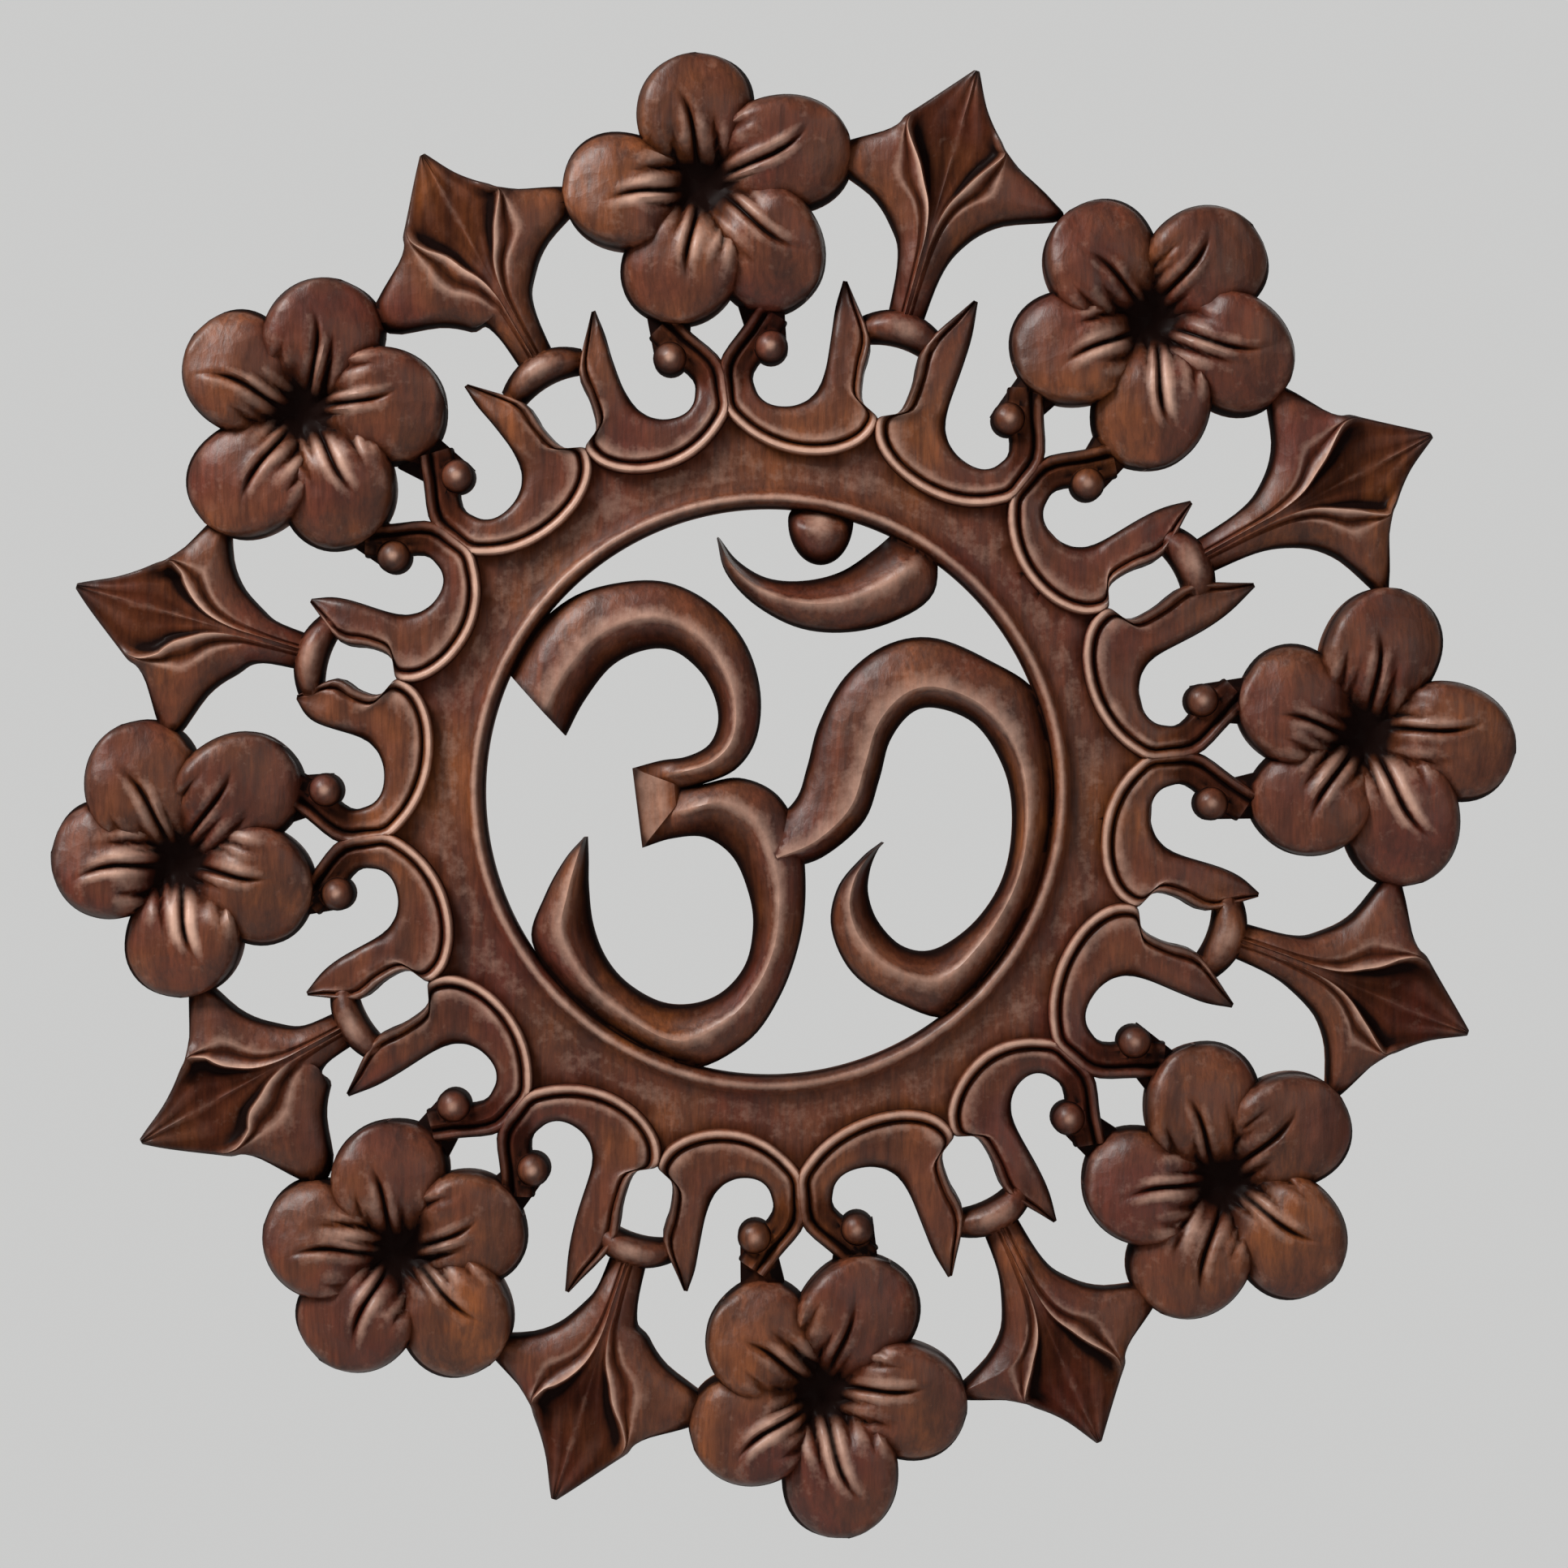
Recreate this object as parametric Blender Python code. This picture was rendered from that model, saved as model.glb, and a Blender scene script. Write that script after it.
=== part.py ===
# Carved wooden wall panel, pierced right through: an Om symbol inside a ring,
# with eight frangipani flowers, paired scrolls and pointed leaves around it.
# Metres, +Z up. The panel stands upright with its flat back on the plane Y = 0,
# its carved face towards -Y, and its origin on the back of the ring's top.
import math

import bmesh
import bpy
import numpy as np

for old in list(bpy.data.objects):
    bpy.data.objects.remove(old, do_unlink=True)

# Driving dimensions, in metres
SPAN = 0.400                 # panel's nominal width over opposite flowers
RING_INNER_RADIUS = 0.0770   # edge of the round opening that holds the symbol
RING_LIP_WIDTH = 0.0042      # raised lip round that opening
FIELD_HEIGHT = 0.0115        # plain band of the ring, above the back
LIP_HEIGHT = 0.0140          # top of the ring's raised lip
SYMBOL_RIDGE_HEIGHT = 0.0165
SYMBOL_EDGE_HEIGHT = 0.0105
SCROLL_RIM_HEIGHT = 0.0150
SCROLL_GROOVE_HEIGHT = 0.0125
SCROLL_BODY_HEIGHT = 0.0142
SCROLL_EDGE_HEIGHT = 0.0110
SCROLL_LAP = 0.0004          # where two scrolls cross, the right one runs in under the left
BEAD_RADIUS = 0.0047
BEAD_HEIGHT = 0.0160
COLLAR_HEIGHT = 0.0145
LEAF_RIDGE_HEIGHT = 0.0160
LEAF_HOLLOW_HEIGHT = 0.0112
LEAF_EDGE_HEIGHT = 0.0100
PETAL_CROWN_HEIGHT = 0.0205
PETAL_EDGE_DROP = 0.0048     # how far a petal's rim rounds down from its crown
PETAL_TILT = 0.0022          # one side of a petal lies over its neighbour
PETAL_TIP_DROP = 0.0050      # and how far the crown sinks towards the tip
PETAL_HALF_WIDTH = 0.0159
PETAL_GROOVE_DEPTH = 0.0016
HEART_HEIGHT = 0.0110        # dark pit where the five petals meet
WEB_HEIGHT = 0.0098
ORIGIN_RISE = 0.0910         # origin above the panel's centre, on the ring's plain band

# The outlines below are drawn in millimetres on a panel 400 mm across
DRAWN_SPAN = 400.0
MM = SPAN / DRAWN_SPAN
FLOWERS = 8
TURN = -5.6                  # degrees clockwise from straight up to the first flower
STEP = 360.0 / FLOWERS
HEART_RADIUS = 162.0         # from the panel's centre to a flower's heart
RING_CENTRE = (-1.8, -0.8)   # the opening was cut slightly off centre
RING_OUTER_RADIUS = 103.9    # hidden under the scrolls
DRAWN_INNER_RADIUS = 77.0
OPENING = RING_INNER_RADIUS / (DRAWN_INNER_RADIUS * MM)
RING_SIDES = 48

# Each flower: sideways and outward shift of its heart, then the direction
# (degrees clockwise from outward) and reach of its five petals
FLOWER_TABLE = (
    (-3.6, 2.5, (3, 36), (77, 42), (143, 41.5), (203, 38.5), (275, 38)),
    (-1.9, 0.8, (8, 37.5), (75, 41), (143, 40.5), (214, 39), (284, 37)),
    (0.9, -1.6, (13, 41), (75, 43), (138, 38.5), (211, 36), (290, 40.5)),
    (5.5, -0.4, (3, 39.5), (77, 39), (141, 38), (219, 38.5), (285, 39.5)),
    (3.7, 1.9, (-5, 40), (72, 37.5), (140, 36.5), (214, 40), (284, 40)),
    (-1.2, -0.3, (-2, 36), (63, 37.5), (136, 36), (214, 35), (282, 39)),
    (-4.2, 0.7, (11, 34.5), (74, 40.5), (138, 42.5), (204, 37.5), (275, 36.5)),
    (-2.4, 1.2, (-3, 36.5), (67, 37.5), (138, 38.5), (209, 38.5), (273, 40)),
)

# Hand work wanders: turn in degrees and outward shift of the scrolls below each
# flower, and the same for each leaf, followed by the radius of the leaf's tip, how
# its tip leans, how far out or in its left and right shoulders sit, and how far out
# or in the undersides of its left and right lobes sit
SCROLL_DRIFT = ((-1.6, 0.0), (-0.3, -1.8), (0.8, -2.0), (2.7, -0.8),
                (1.9, 1.7), (-0.5, 2.7), (-1.3, 2.2), (-1.6, 1.0))
LEAF_DRIFT = ((-1.4, -1.0), (-0.4, -2.5), (1.2, -2.0), (0.8, 0.5),
              (0.4, 2.0), (-1.0, 2.3), (-0.7, 1.6), (-1.0, 0.5))
LEAF_TIPS = (202.0, 202.0, 199.0, 197.5, 201.5, 196.5, 197.0, 196.5)
LEAF_LEAN = (0.2, 0.2, 1.3, 0.9, 0.0, 0.0, 0.0, 0.0)    # degrees more at the tip than at the stem
LEAF_SAG = ((0.0, 0.0), (0.0, -0.5), (-2.0, -0.5), (0.0, -0.5),
            (-1.5, -5.0), (-6.0, -5.0), (-5.0, -5.0), (-2.0, 0.0))
LEAF_BELLY = ((-1.0, 0.5), (0.0, 1.5), (-0.5, 2.5), (-0.5, 3.0),
              (-3.5, 2.0), (-5.0, 0.5), (-1.0, 2.5), (-5.0, -1.0))
DRIFT_FADE = (112.0, 150.0)  # the outward shift dies away between these radii

# Where each scroll's horn ends, beside its flower: left scroll, then right scroll
HORN_TIPS = (((37, 133.5), (33, 135)), ((42.5, 136.5), (38.5, 131.5)),
             ((43, 134.5), (42, 127.5)), ((34, 133), (43, 133)),
             ((35, 136), (38, 133)), ((43.5, 141), (37.5, 137.5)),
             ((43.5, 131.5), (38, 126.5)), ((41, 129.5), (32, 134)))

# Scroll to the right of a flower: outer edge, then inner edge, from the bead
# round to the horn; the scroll to the left is its mirror image
SCROLL_RIBS = (
    (11.5, 131, 19, 125.5), (7, 125.5, 15.5, 120.5), (-0.5, 116.5, 8.6, 113.5),
    (-1.2, 104.5, 8.4, 107.5), (2.4, 98.4, 12.6, 103.4), (12.5, 91, 18.5, 103),
    (21.5, 88.4, 22.6, 104.6), (30.5, 88.8, 24.2, 106), (39.3, 92, 25.8, 107.9),
    (41.3, 97, 27.2, 110), (36.8, 101.8, 29.2, 115.6), (38.2, 108.3, 31, 121),
    (41.8, 116.5, 33.6, 126.6),
    (38.4, 131, 37.2, 131.4),
)
HORN_START = 10               # from this rib on, the scroll bends towards its horn's tip
AXIS_OVERLAP = 1.2          # neighbouring scrolls run into each other by this much

# Strokes of the symbol: outer edge, inner edge, and where the ridge runs between them
UPPER_BOW = (
    (-72, 31, -57, 14.5, 0.62), (-66, 42.5, -52, 24, 0.62), (-55, 52, -44.5, 33.5, 0.60),
    (-42, 56, -35.5, 37.8, 0.56), (-29, 56, -27.5, 37.5, 0.55), (-17, 50, -20.5, 32, 0.55),
    (-8, 39.5, -16.5, 25, 0.57), (-4, 26.5, -15.5, 18, 0.57), (-5, 14, -18, 12, 0.52),
    (-10.5, 5.5, -24, 8.8, 0.5), (-20, 1.2, -31, 7.7, 0.5), (-30, -1, -38.7, 5.6, 0.5),
)
LOWER_BOW = (
    (-30, -1, -36, -16, 0.45), (-20, 1.2, -28, -13.5, 0.45), (-9.5, 3, -19, -13.2, 0.42),
    (0.5, -1.5, -11.5, -18.5, 0.45), (6.5, -12, -7.3, -28, 0.5), (8.3, -25, -6, -37, 0.5),
    (7, -40, -8, -47.5, 0.5), (1.5, -56, -14, -55, 0.5), (-8, -69, -22, -58.4, 0.5),
    (-25, -76, -31, -58, 0.45), (-45, -66, -40, -53, 0.5), (-58, -54, -46, -46, 0.5),
    (-66, -41, -49.5, -37, 0.5), (-62.5, -29, -50.7, -27, 0.55), (-57, -19, -50.8, -19, 0.55),
    (-51.8, -13, -51, -13, 0.5),
)
RIGHT_STROKE = (
    (-3, -11, 2, -22, 0.7), (5.5, -3, 13, -18.5, 0.72), (8.7, 6, 24, -9, 0.75),
    (12, 18, 28.3, 2.5, 0.75), (19, 30.5, 31.2, 13, 0.73), (30, 39, 37, 20.5, 0.72),
    (43, 41, 44, 22, 0.71), (58, 35, 54, 18, 0.7), (71, 26, 60.7, 9, 0.7),
    (76.5, 9, 64.2, -2, 0.7), (77, -9, 64, -16, 0.7), (73.5, -27, 60.5, -27.5, 0.7),
    (63, -46, 53, -37.5, 0.65), (48.5, -61.5, 43, -43.8, 0.58), (33, -58, 34.5, -42.7, 0.55),
    (21, -50, 28, -36, 0.52), (15.3, -38, 25.3, -28.5, 0.5), (17, -27, 25.8, -22, 0.5),
    (23.5, -18.8, 27.8, -16.8, 0.5), (29, -14.4, 29.6, -14.6, 0.5),
)
CRESCENT = (
    (-15.8, 67.8, -15.2, 68.2, 0.5), (-13.5, 59, -10, 61.8, 0.5), (-6, 50.5, -2, 57.2, 0.5),
    (6, 44, 8, 56.5, 0.5), (19, 42.6, 18, 59, 0.5), (32, 45.5, 27, 65, 0.5),
    (43, 53, 34, 70.5, 0.5), (44, 67, 40, 71, 0.5),
)
DOT_CENTRE = (12.4, 73.0)
DOT_HALF_WIDTH = 8.9
DOT_LENGTH = 12.0
DOT_RISE = -6.0              # its upper half is shorter and ends under the ring's lip
DOT_DROP = 0.0010            # its top, below the symbol's ridges
BOW_END = ((-38.7, 5.6), (-36, -16), (-28.5, -0.4), (-28.5, -2.4))    # two low, two high corners
BOW_END_RISE = 0.15          # share of the ridge's height where the facet ends
BOW_END_RIDGE = 0.35         # share of its height that a bow's ridge keeps at the facet
LIP_REACH = (71.0, 79.0)     # between these radii the symbol sinks under the ring's lip

# Leaf beside its own axis: radius, width to the left and to the right, and how far from
# the axis its V ridges run
LEAF_RIBS = (
    (128, 4.6, 4.6, 0.5), (146, 6.2, 6.2, 0.7), (155, 10, 10, 1.0), (162.5, 18, 18, 2.6),
    (168.5, 33, 33, 5.8), (173, 29, 29, 8.5), (180, 17.5, 15.5, 13.6), (184, 15, 11.5, 14),
    (191, 8.8, 5.6, 14), (200, 0.8, 0.8, 14),
)
DRAWN_TIP = 200.0
LEAF_SHOULDER = (140.0, 158.0, 172.0)    # the sag grows, is full, and starts to die away
LEAF_UNDERSIDE = (150.0, 158.0, 166.0, 172.0)    # the same for the undersides, and its end
LEAF_HOLLOW = (155.0, 175.0)             # between these radii the middle sinks
LEAF_RIDGE_END = (180.0, 188.0)          # between these the ridges run down to the point
LEAF_RIDGE_REACH = 0.9                   # ridges stay within this share of the width
STEM_DIP = 0.0010                        # stem's middle, below its two ridges

BEAD_PLACE = (13.8, 119.2)
WEB_CORNERS = (((9, 117), (18, 117)), ((6, 134), (19, 133)))

# Collar: radii, half of its angle, how far its ends bow inwards, and its rounded
# profile as (share of the way out, drop below its top)
COLLAR_RADII = (125.5, 134.5)
COLLAR_HALF_ANGLE = 5.4
COLLAR_BOW = 2.5
COLLAR_PROFILE = ((0, 0.0030), (0.3, 0), (0.7, 0.0006), (1, 0.0030))
COLLAR_END_DROP = 0.0012

# Petal: places along it and across it where its surface is drawn, as shares
PETAL_ROWS = (0.0, 0.32, 0.66, 0.88, 1.0)
PETAL_COLUMNS = (-1, -0.7, 0.05, 0.7, 1)
PETAL_GROOVE_COLUMN = 2
PETAL_TWIST = 34.0           # degrees by which a petal's root lags behind its tip
PETAL_LOBE = 0.57            # where along it the petal is widest
PETAL_ROOT_WIDTH = 0.22      # half widths at its root and its tip, as shares of the widest
PETAL_TIP_WIDTH = 0.16
PETAL_SWELL = 0.40           # by here the petal has risen from the heart to its crown

# The forms run past the back, each a little further than the last, and are cut flat there
BACK_DEPTH = 0.004
BACK_STEP = 0.0001
CUT_DEPTH = 0.1
CUT_MARGIN = 1.5             # cutting block's width, in panel widths
CLOSE_POINTS = 0.00002       # points nearer than this are one point
FLAT_ANGLE = 10.0            # degrees; faces flatter to each other than this are merged


def place(turn, x, y):
    """Drawing point of a sector turned by so many degrees, on the panel."""
    a = math.radians(turn)
    return x * math.cos(a) + y * math.sin(a), y * math.cos(a) - x * math.sin(a)


def smooth(points, count):
    """Points read evenly from a smooth curve through the given ones."""
    p = np.array(points, dtype=float)
    padded = np.vstack((2 * p[0] - p[1], p, 2 * p[-1] - p[-2]))
    out = []
    for t in np.linspace(0, len(p) - 1, count):
        i = min(int(t), len(p) - 2)
        f = t - i
        a, b, c, d = padded[i:i + 4]
        out.append(0.5 * (2 * b + (c - a) * f + (2 * a - 5 * b + 4 * c - d) * f ** 2
                          + (3 * b - a - 3 * c + d) * f ** 3))
    return np.array(out)


def between(a, b, share):
    return a + (b - a) * share


def fade(value, start, end):
    """0 up to start, 1 from end on, smooth between them."""
    t = min(max((value - start) / (end - start), 0.0), 1.0)
    return t * t * (3 - 2 * t)


def drift(x, z):
    """Moves a panel point as the hand-cut pattern wanders from the exact eightfold one."""
    radius = math.hypot(x, z)
    angle = math.degrees(math.atan2(x, z))
    place_on_round = ((angle - TURN) / (STEP / 2)) % (2 * FLOWERS)
    low = int(place_on_round)
    share = fade(place_on_round - low, 0.0, 1.0)
    ends = []
    for axis in (low, low + 1):
        table = LEAF_DRIFT if axis % 2 else SCROLL_DRIFT
        ends.append(table[(axis // 2) % FLOWERS])
    angle += between(ends[0][0], ends[1][0], share)
    outward = between(ends[0][1], ends[1][1], share)
    radius += outward * (1 - fade(radius, *DRIFT_FADE))
    a = math.radians(angle)
    return radius * math.sin(a), radius * math.cos(a)


pieces = []


def slab(name, grid):
    """Closed solid under a grid of (x, z, height) points, x and z as drawn, height in
    metres, run past the panel's back."""
    rows, columns = grid.shape[:2]
    bm = bmesh.new()
    bmesh.ops.create_grid(bm, x_segments=columns - 1, y_segments=rows - 1, size=1.0)
    bm.verts.ensure_lookup_table()
    for vert, (x, z, height) in zip(bm.verts, grid.reshape(-1, 3)):
        vert.co = (x * MM, -height, z * MM)
    back = BACK_DEPTH + BACK_STEP * len(pieces)
    result = bmesh.ops.extrude_face_region(bm, geom=bm.faces[:])
    for item in result["geom"]:
        if isinstance(item, bmesh.types.BMVert):
            item.co.y = back
    bmesh.ops.recalc_face_normals(bm, faces=bm.faces[:])
    return keep(name, bm)


def keep(name, bm):
    """Makes the form an object, moved down so that the origin is on the ring's top."""
    bmesh.ops.translate(bm, vec=(0, 0, -ORIGIN_RISE), verts=bm.verts)
    mesh = bpy.data.meshes.new(name)
    bm.to_mesh(mesh)
    bm.free()
    made = bpy.data.objects.new(name, mesh)
    bpy.context.collection.objects.link(made)
    pieces.append(made)
    return made


def ring():
    """Plain band with a raised lip round the opening, spun about the opening's centre."""
    inner = RING_INNER_RADIUS
    lip = RING_LIP_WIDTH
    outer = RING_OUTER_RADIUS * MM
    profile = ((inner, -BACK_DEPTH), (inner, LIP_HEIGHT - 0.3 * lip),
               (inner + 0.5 * lip, LIP_HEIGHT), (inner + lip, FIELD_HEIGHT),
               (outer, FIELD_HEIGHT), (outer, -BACK_DEPTH))
    bm = bmesh.new()
    verts = [bm.verts.new((r, -h, 0)) for r, h in profile]
    edges = [bm.edges.new((a, b)) for a, b in zip(verts, verts[1:] + verts[:1])]
    bmesh.ops.spin(bm, geom=verts + edges, cent=(0, 0, 0), axis=(0, 1, 0),
                   angle=math.tau, steps=RING_SIDES, use_merge=True)
    bmesh.ops.recalc_face_normals(bm, faces=bm.faces[:])
    bmesh.ops.translate(bm, vec=(RING_CENTRE[0] * MM, 0, RING_CENTRE[1] * MM), verts=bm.verts)
    return keep("carved_panel", bm)


def under_lip(x, z):
    """0 inside the ring, 1 where the symbol has sunk below the ring's lip."""
    return fade(math.hypot(x - RING_CENTRE[0], z - RING_CENTRE[1]), *LIP_REACH)


def stroke(name, ribs, rows, low_row=None):
    """Stroke of the symbol with one ridge along it and two sloping sides."""
    grid = []
    for number, (ox, oz, ix, iz, ridge) in enumerate(smooth(ribs, rows)):
        crest = BOW_END_RIDGE if number == low_row else 1
        row = []
        for share, lift in ((0, 0), (ridge, crest), (1, 0)):
            x = between(ox, ix, share)
            z = between(oz, iz, share)
            lift *= 1 - under_lip(x, z)
            height = between(SYMBOL_EDGE_HEIGHT, SYMBOL_RIDGE_HEIGHT, lift)
            row.append((x * OPENING, z * OPENING, height))
        grid.append(row)
    return slab(name, np.array(grid))


def stroke_end():
    """Flat three-cornered facet where the two bows meet."""
    low = SYMBOL_EDGE_HEIGHT
    high = between(SYMBOL_EDGE_HEIGHT, SYMBOL_RIDGE_HEIGHT, BOW_END_RISE)
    corners = [(x * OPENING, z * OPENING) for x, z in BOW_END]
    grid = [[(*corners[0], low), (*corners[2], high)],
            [(*corners[1], low), (*corners[3], high)]]
    return slab("bow_end", np.array(grid))


def dome(name, centre, half_width, half_length, rise, top, side, rings, sides):
    """Rounded knob on straight sides, turned and then stretched; rise lengthens its top."""
    back = BACK_DEPTH + BACK_STEP * len(pieces)
    profile = [(0, -back), (1, -back)]
    for level in range(rings):
        a = level / rings * math.pi / 2
        profile.append((math.cos(a), between(side, top, math.sin(a))))
    profile.append((0, top))
    bm = bmesh.new()
    verts = [bm.verts.new((r, -h, 0)) for r, h in profile]
    edges = [bm.edges.new(pair) for pair in zip(verts, verts[1:])]
    bmesh.ops.spin(bm, geom=verts + edges, cent=(0, 0, 0), axis=(0, 1, 0),
                   angle=math.tau, steps=sides, use_merge=True)
    bmesh.ops.remove_doubles(bm, verts=bm.verts, dist=0.0001)
    for vert in bm.verts:
        stretch = half_length + (rise if vert.co.z > 0 else 0)
        vert.co.x = (centre[0] + vert.co.x * half_width) * MM
        vert.co.z = (centre[1] + vert.co.z * stretch) * MM
    bmesh.ops.recalc_face_normals(bm, faces=bm.faces[:])
    return keep(name, bm)


def within_axes(x, y):
    """Keeps a scroll's edge on its own side of the flower's axis and of the leaf's."""
    x = max(x, -AXIS_OVERLAP)
    a = math.radians(STEP / 2)
    past = x * math.cos(a) - y * math.sin(a) - AXIS_OVERLAP
    if past > 0:
        x -= past * math.cos(a)
        y += past * math.sin(a)
    return x, y


def scroll(flower, side, rows):
    """C-shaped scroll with a half-round rim, a groove inside it and a rounded body."""
    turn = TURN + STEP * flower
    tip_x, tip_y = HORN_TIPS[flower][0 if side < 0 else 1]
    ribs = np.array(SCROLL_RIBS, dtype=float)
    tip_world = place(turn, side * tip_x, tip_y)
    drawn = place(turn, side * ribs[-1][0], ribs[-1][1])
    moved = drift(*drawn)
    pull = (tip_world[0] - moved[0], tip_world[1] - moved[1])
    last = len(ribs) - 1
    lap = SCROLL_LAP if side > 0 else 0
    profile = ((0, SCROLL_RIM_HEIGHT), (0.18, SCROLL_GROOVE_HEIGHT),
               (0.5, SCROLL_BODY_HEIGHT), (1, SCROLL_EDGE_HEIGHT))
    grid = []
    for row, (ox, oy, ix, iy) in enumerate(smooth(ribs, rows)):
        t = row / (rows - 1) * last
        bend = max(0.0, (t - HORN_START) / (last - HORN_START)) ** 1.5
        ox, oy = within_axes(ox, oy)
        line = []
        for share, height in profile:
            x, z = drift(*place(turn, side * between(ox, ix, share), between(oy, iy, share)))
            line.append((x + bend * pull[0], z + bend * pull[1], height - lap))
        grid.append(line)
    return slab(f"scroll_{flower}_{'left' if side < 0 else 'right'}", np.array(grid))


def bead(flower, side):
    turn = TURN + STEP * flower
    x, z = drift(*place(turn, side * BEAD_PLACE[0], BEAD_PLACE[1]))
    radius = BEAD_RADIUS / MM
    return dome(f"bead_{flower}_{'left' if side < 0 else 'right'}", (x, z), radius, radius, 0,
                BEAD_HEIGHT, SCROLL_EDGE_HEIGHT, rings=2, sides=8)


def web(flower, side):
    """Low wood behind a bead, joining the scroll to the petals above it."""
    turn = TURN + STEP * flower
    grid = []
    for line in WEB_CORNERS:
        row = []
        for x, y in line:
            x, z = drift(*place(turn, side * x, y))
            row.append((x, z, WEB_HEIGHT))
        grid.append(row)
    return slab(f"web_{flower}_{'left' if side < 0 else 'right'}", np.array(grid))


def leaf_turn(leaf):
    return TURN + STEP * (leaf + 0.5)


def leaf(index):
    """Pointed leaf on a stem: two side lobes, and a sunken middle between V ridges."""
    turn = leaf_turn(index) + LEAF_DRIFT[index][0]
    reach = LEAF_TIPS[index]
    grid = []
    start = LEAF_RIBS[0][0]
    for radius, left, right, ridge in LEAF_RIBS:
        outward = start + (radius - start) * (reach - start) / (DRAWN_TIP - start)
        lean = LEAF_LEAN[index] * fade(radius, start, DRAWN_TIP)
        shoulder = (fade(radius, LEAF_SHOULDER[0], LEAF_SHOULDER[1])
                    * (1 - fade(radius, LEAF_SHOULDER[2], DRAWN_TIP)))
        underside = fade(radius, *LEAF_UNDERSIDE[:2]) * (1 - fade(radius, *LEAF_UNDERSIDE[2:]))
        opening = fade(radius, *LEAF_HOLLOW)
        middle = between(LEAF_RIDGE_HEIGHT - STEM_DIP, LEAF_HOLLOW_HEIGHT, opening)
        crest = between(LEAF_RIDGE_HEIGHT, LEAF_HOLLOW_HEIGHT, fade(radius, *LEAF_RIDGE_END))
        left_ridge = min(ridge, LEAF_RIDGE_REACH * left)
        right_ridge = min(ridge, LEAF_RIDGE_REACH * right)
        row = []
        for across, height in ((-left, LEAF_EDGE_HEIGHT), (-left_ridge, crest), (0, middle),
                               (right_ridge, crest), (right, LEAF_EDGE_HEIGHT)):
            hand = 0 if across < 0 else 1
            share = min(2 * abs(across) / (right if hand else left), 1)
            sag = LEAF_SAG[index][hand] * shoulder + LEAF_BELLY[index][hand] * underside
            x, z = place(turn + lean, across, outward + sag * share)
            row.append((x, z, height))
        grid.append(row)
    return slab(f"leaf_{index}", np.array(grid))


def collar(index):
    """Small arched band between two horns, at the foot of a leaf's stem."""
    turn = leaf_turn(index)
    low, high = COLLAR_RADII
    grid = []
    for across in (-1, -0.5, 0, 0.5, 1):
        row = []
        for share, drop in COLLAR_PROFILE:
            radius = between(low, high, share) - COLLAR_BOW * across ** 2
            a = COLLAR_HALF_ANGLE * across
            x, z = drift(*place(turn + a, 0, radius))
            row.append((x, z, COLLAR_HEIGHT - drop - COLLAR_END_DROP * abs(across)))
        grid.append(row)
    return slab(f"collar_{index}", np.array(grid))


def petal_half_width(along):
    """Share of the petal's greatest half width, a share along of the way to its tip."""
    if along < PETAL_LOBE:
        opening = math.sin(math.pi / 2 * along / PETAL_LOBE) ** 0.75
        return between(PETAL_ROOT_WIDTH, 1.0, opening)
    rounding = math.sqrt(1 - ((along - PETAL_LOBE) / (1 - PETAL_LOBE)) ** 2)
    return max(rounding, PETAL_TIP_WIDTH)


def petal(flower, index):
    """Rounded petal, curved like a pinwheel's arm, one side lying over its neighbour."""
    turn = TURN + STEP * flower
    side, out = FLOWER_TABLE[flower][:2]
    direction, reach = FLOWER_TABLE[flower][2 + index]
    heart = place(turn, side, HEART_RADIUS + out)
    half = PETAL_HALF_WIDTH / MM
    grid = []
    for along in PETAL_ROWS:
        lag = PETAL_TWIST * (1 - along) ** 3
        angle = math.radians(turn + direction - lag)
        middle = (heart[0] + along * reach * math.sin(angle),
                  heart[1] + along * reach * math.cos(angle))
        lean = angle + math.radians(PETAL_TWIST * (1 - along) ** 2)
        sideways = (math.cos(lean), -math.sin(lean))
        width = half * petal_half_width(along)
        swell = min(along / PETAL_SWELL, 1)
        crown = between(HEART_HEIGHT, PETAL_CROWN_HEIGHT, math.sin(swell * math.pi / 2))
        crown -= PETAL_TIP_DROP * fade(along, 0.7, 1.0)
        row = []
        for number, across in enumerate(PETAL_COLUMNS):
            height = crown - swell * (PETAL_TILT * across + PETAL_EDGE_DROP * abs(across) ** 3)
            if number == PETAL_GROOVE_COLUMN:
                height -= PETAL_GROOVE_DEPTH * (1 - fade(along, 0.5, 0.75)) * fade(along, 0.0, 0.25)
            row.append((middle[0] + sideways[0] * width * across,
                        middle[1] + sideways[1] * width * across, height))
        grid.append(row)
    return slab(f"petal_{flower}_{index}", np.array(grid))


def material(name, colour, roughness):
    made = bpy.data.materials.new(name)
    made.use_nodes = True
    shader = made.node_tree.nodes["Principled BSDF"]
    shader.inputs["Base Color"].default_value = (*colour, 1)
    shader.inputs["Roughness"].default_value = roughness
    shader.inputs["Metallic"].default_value = 0.0
    return made


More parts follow.
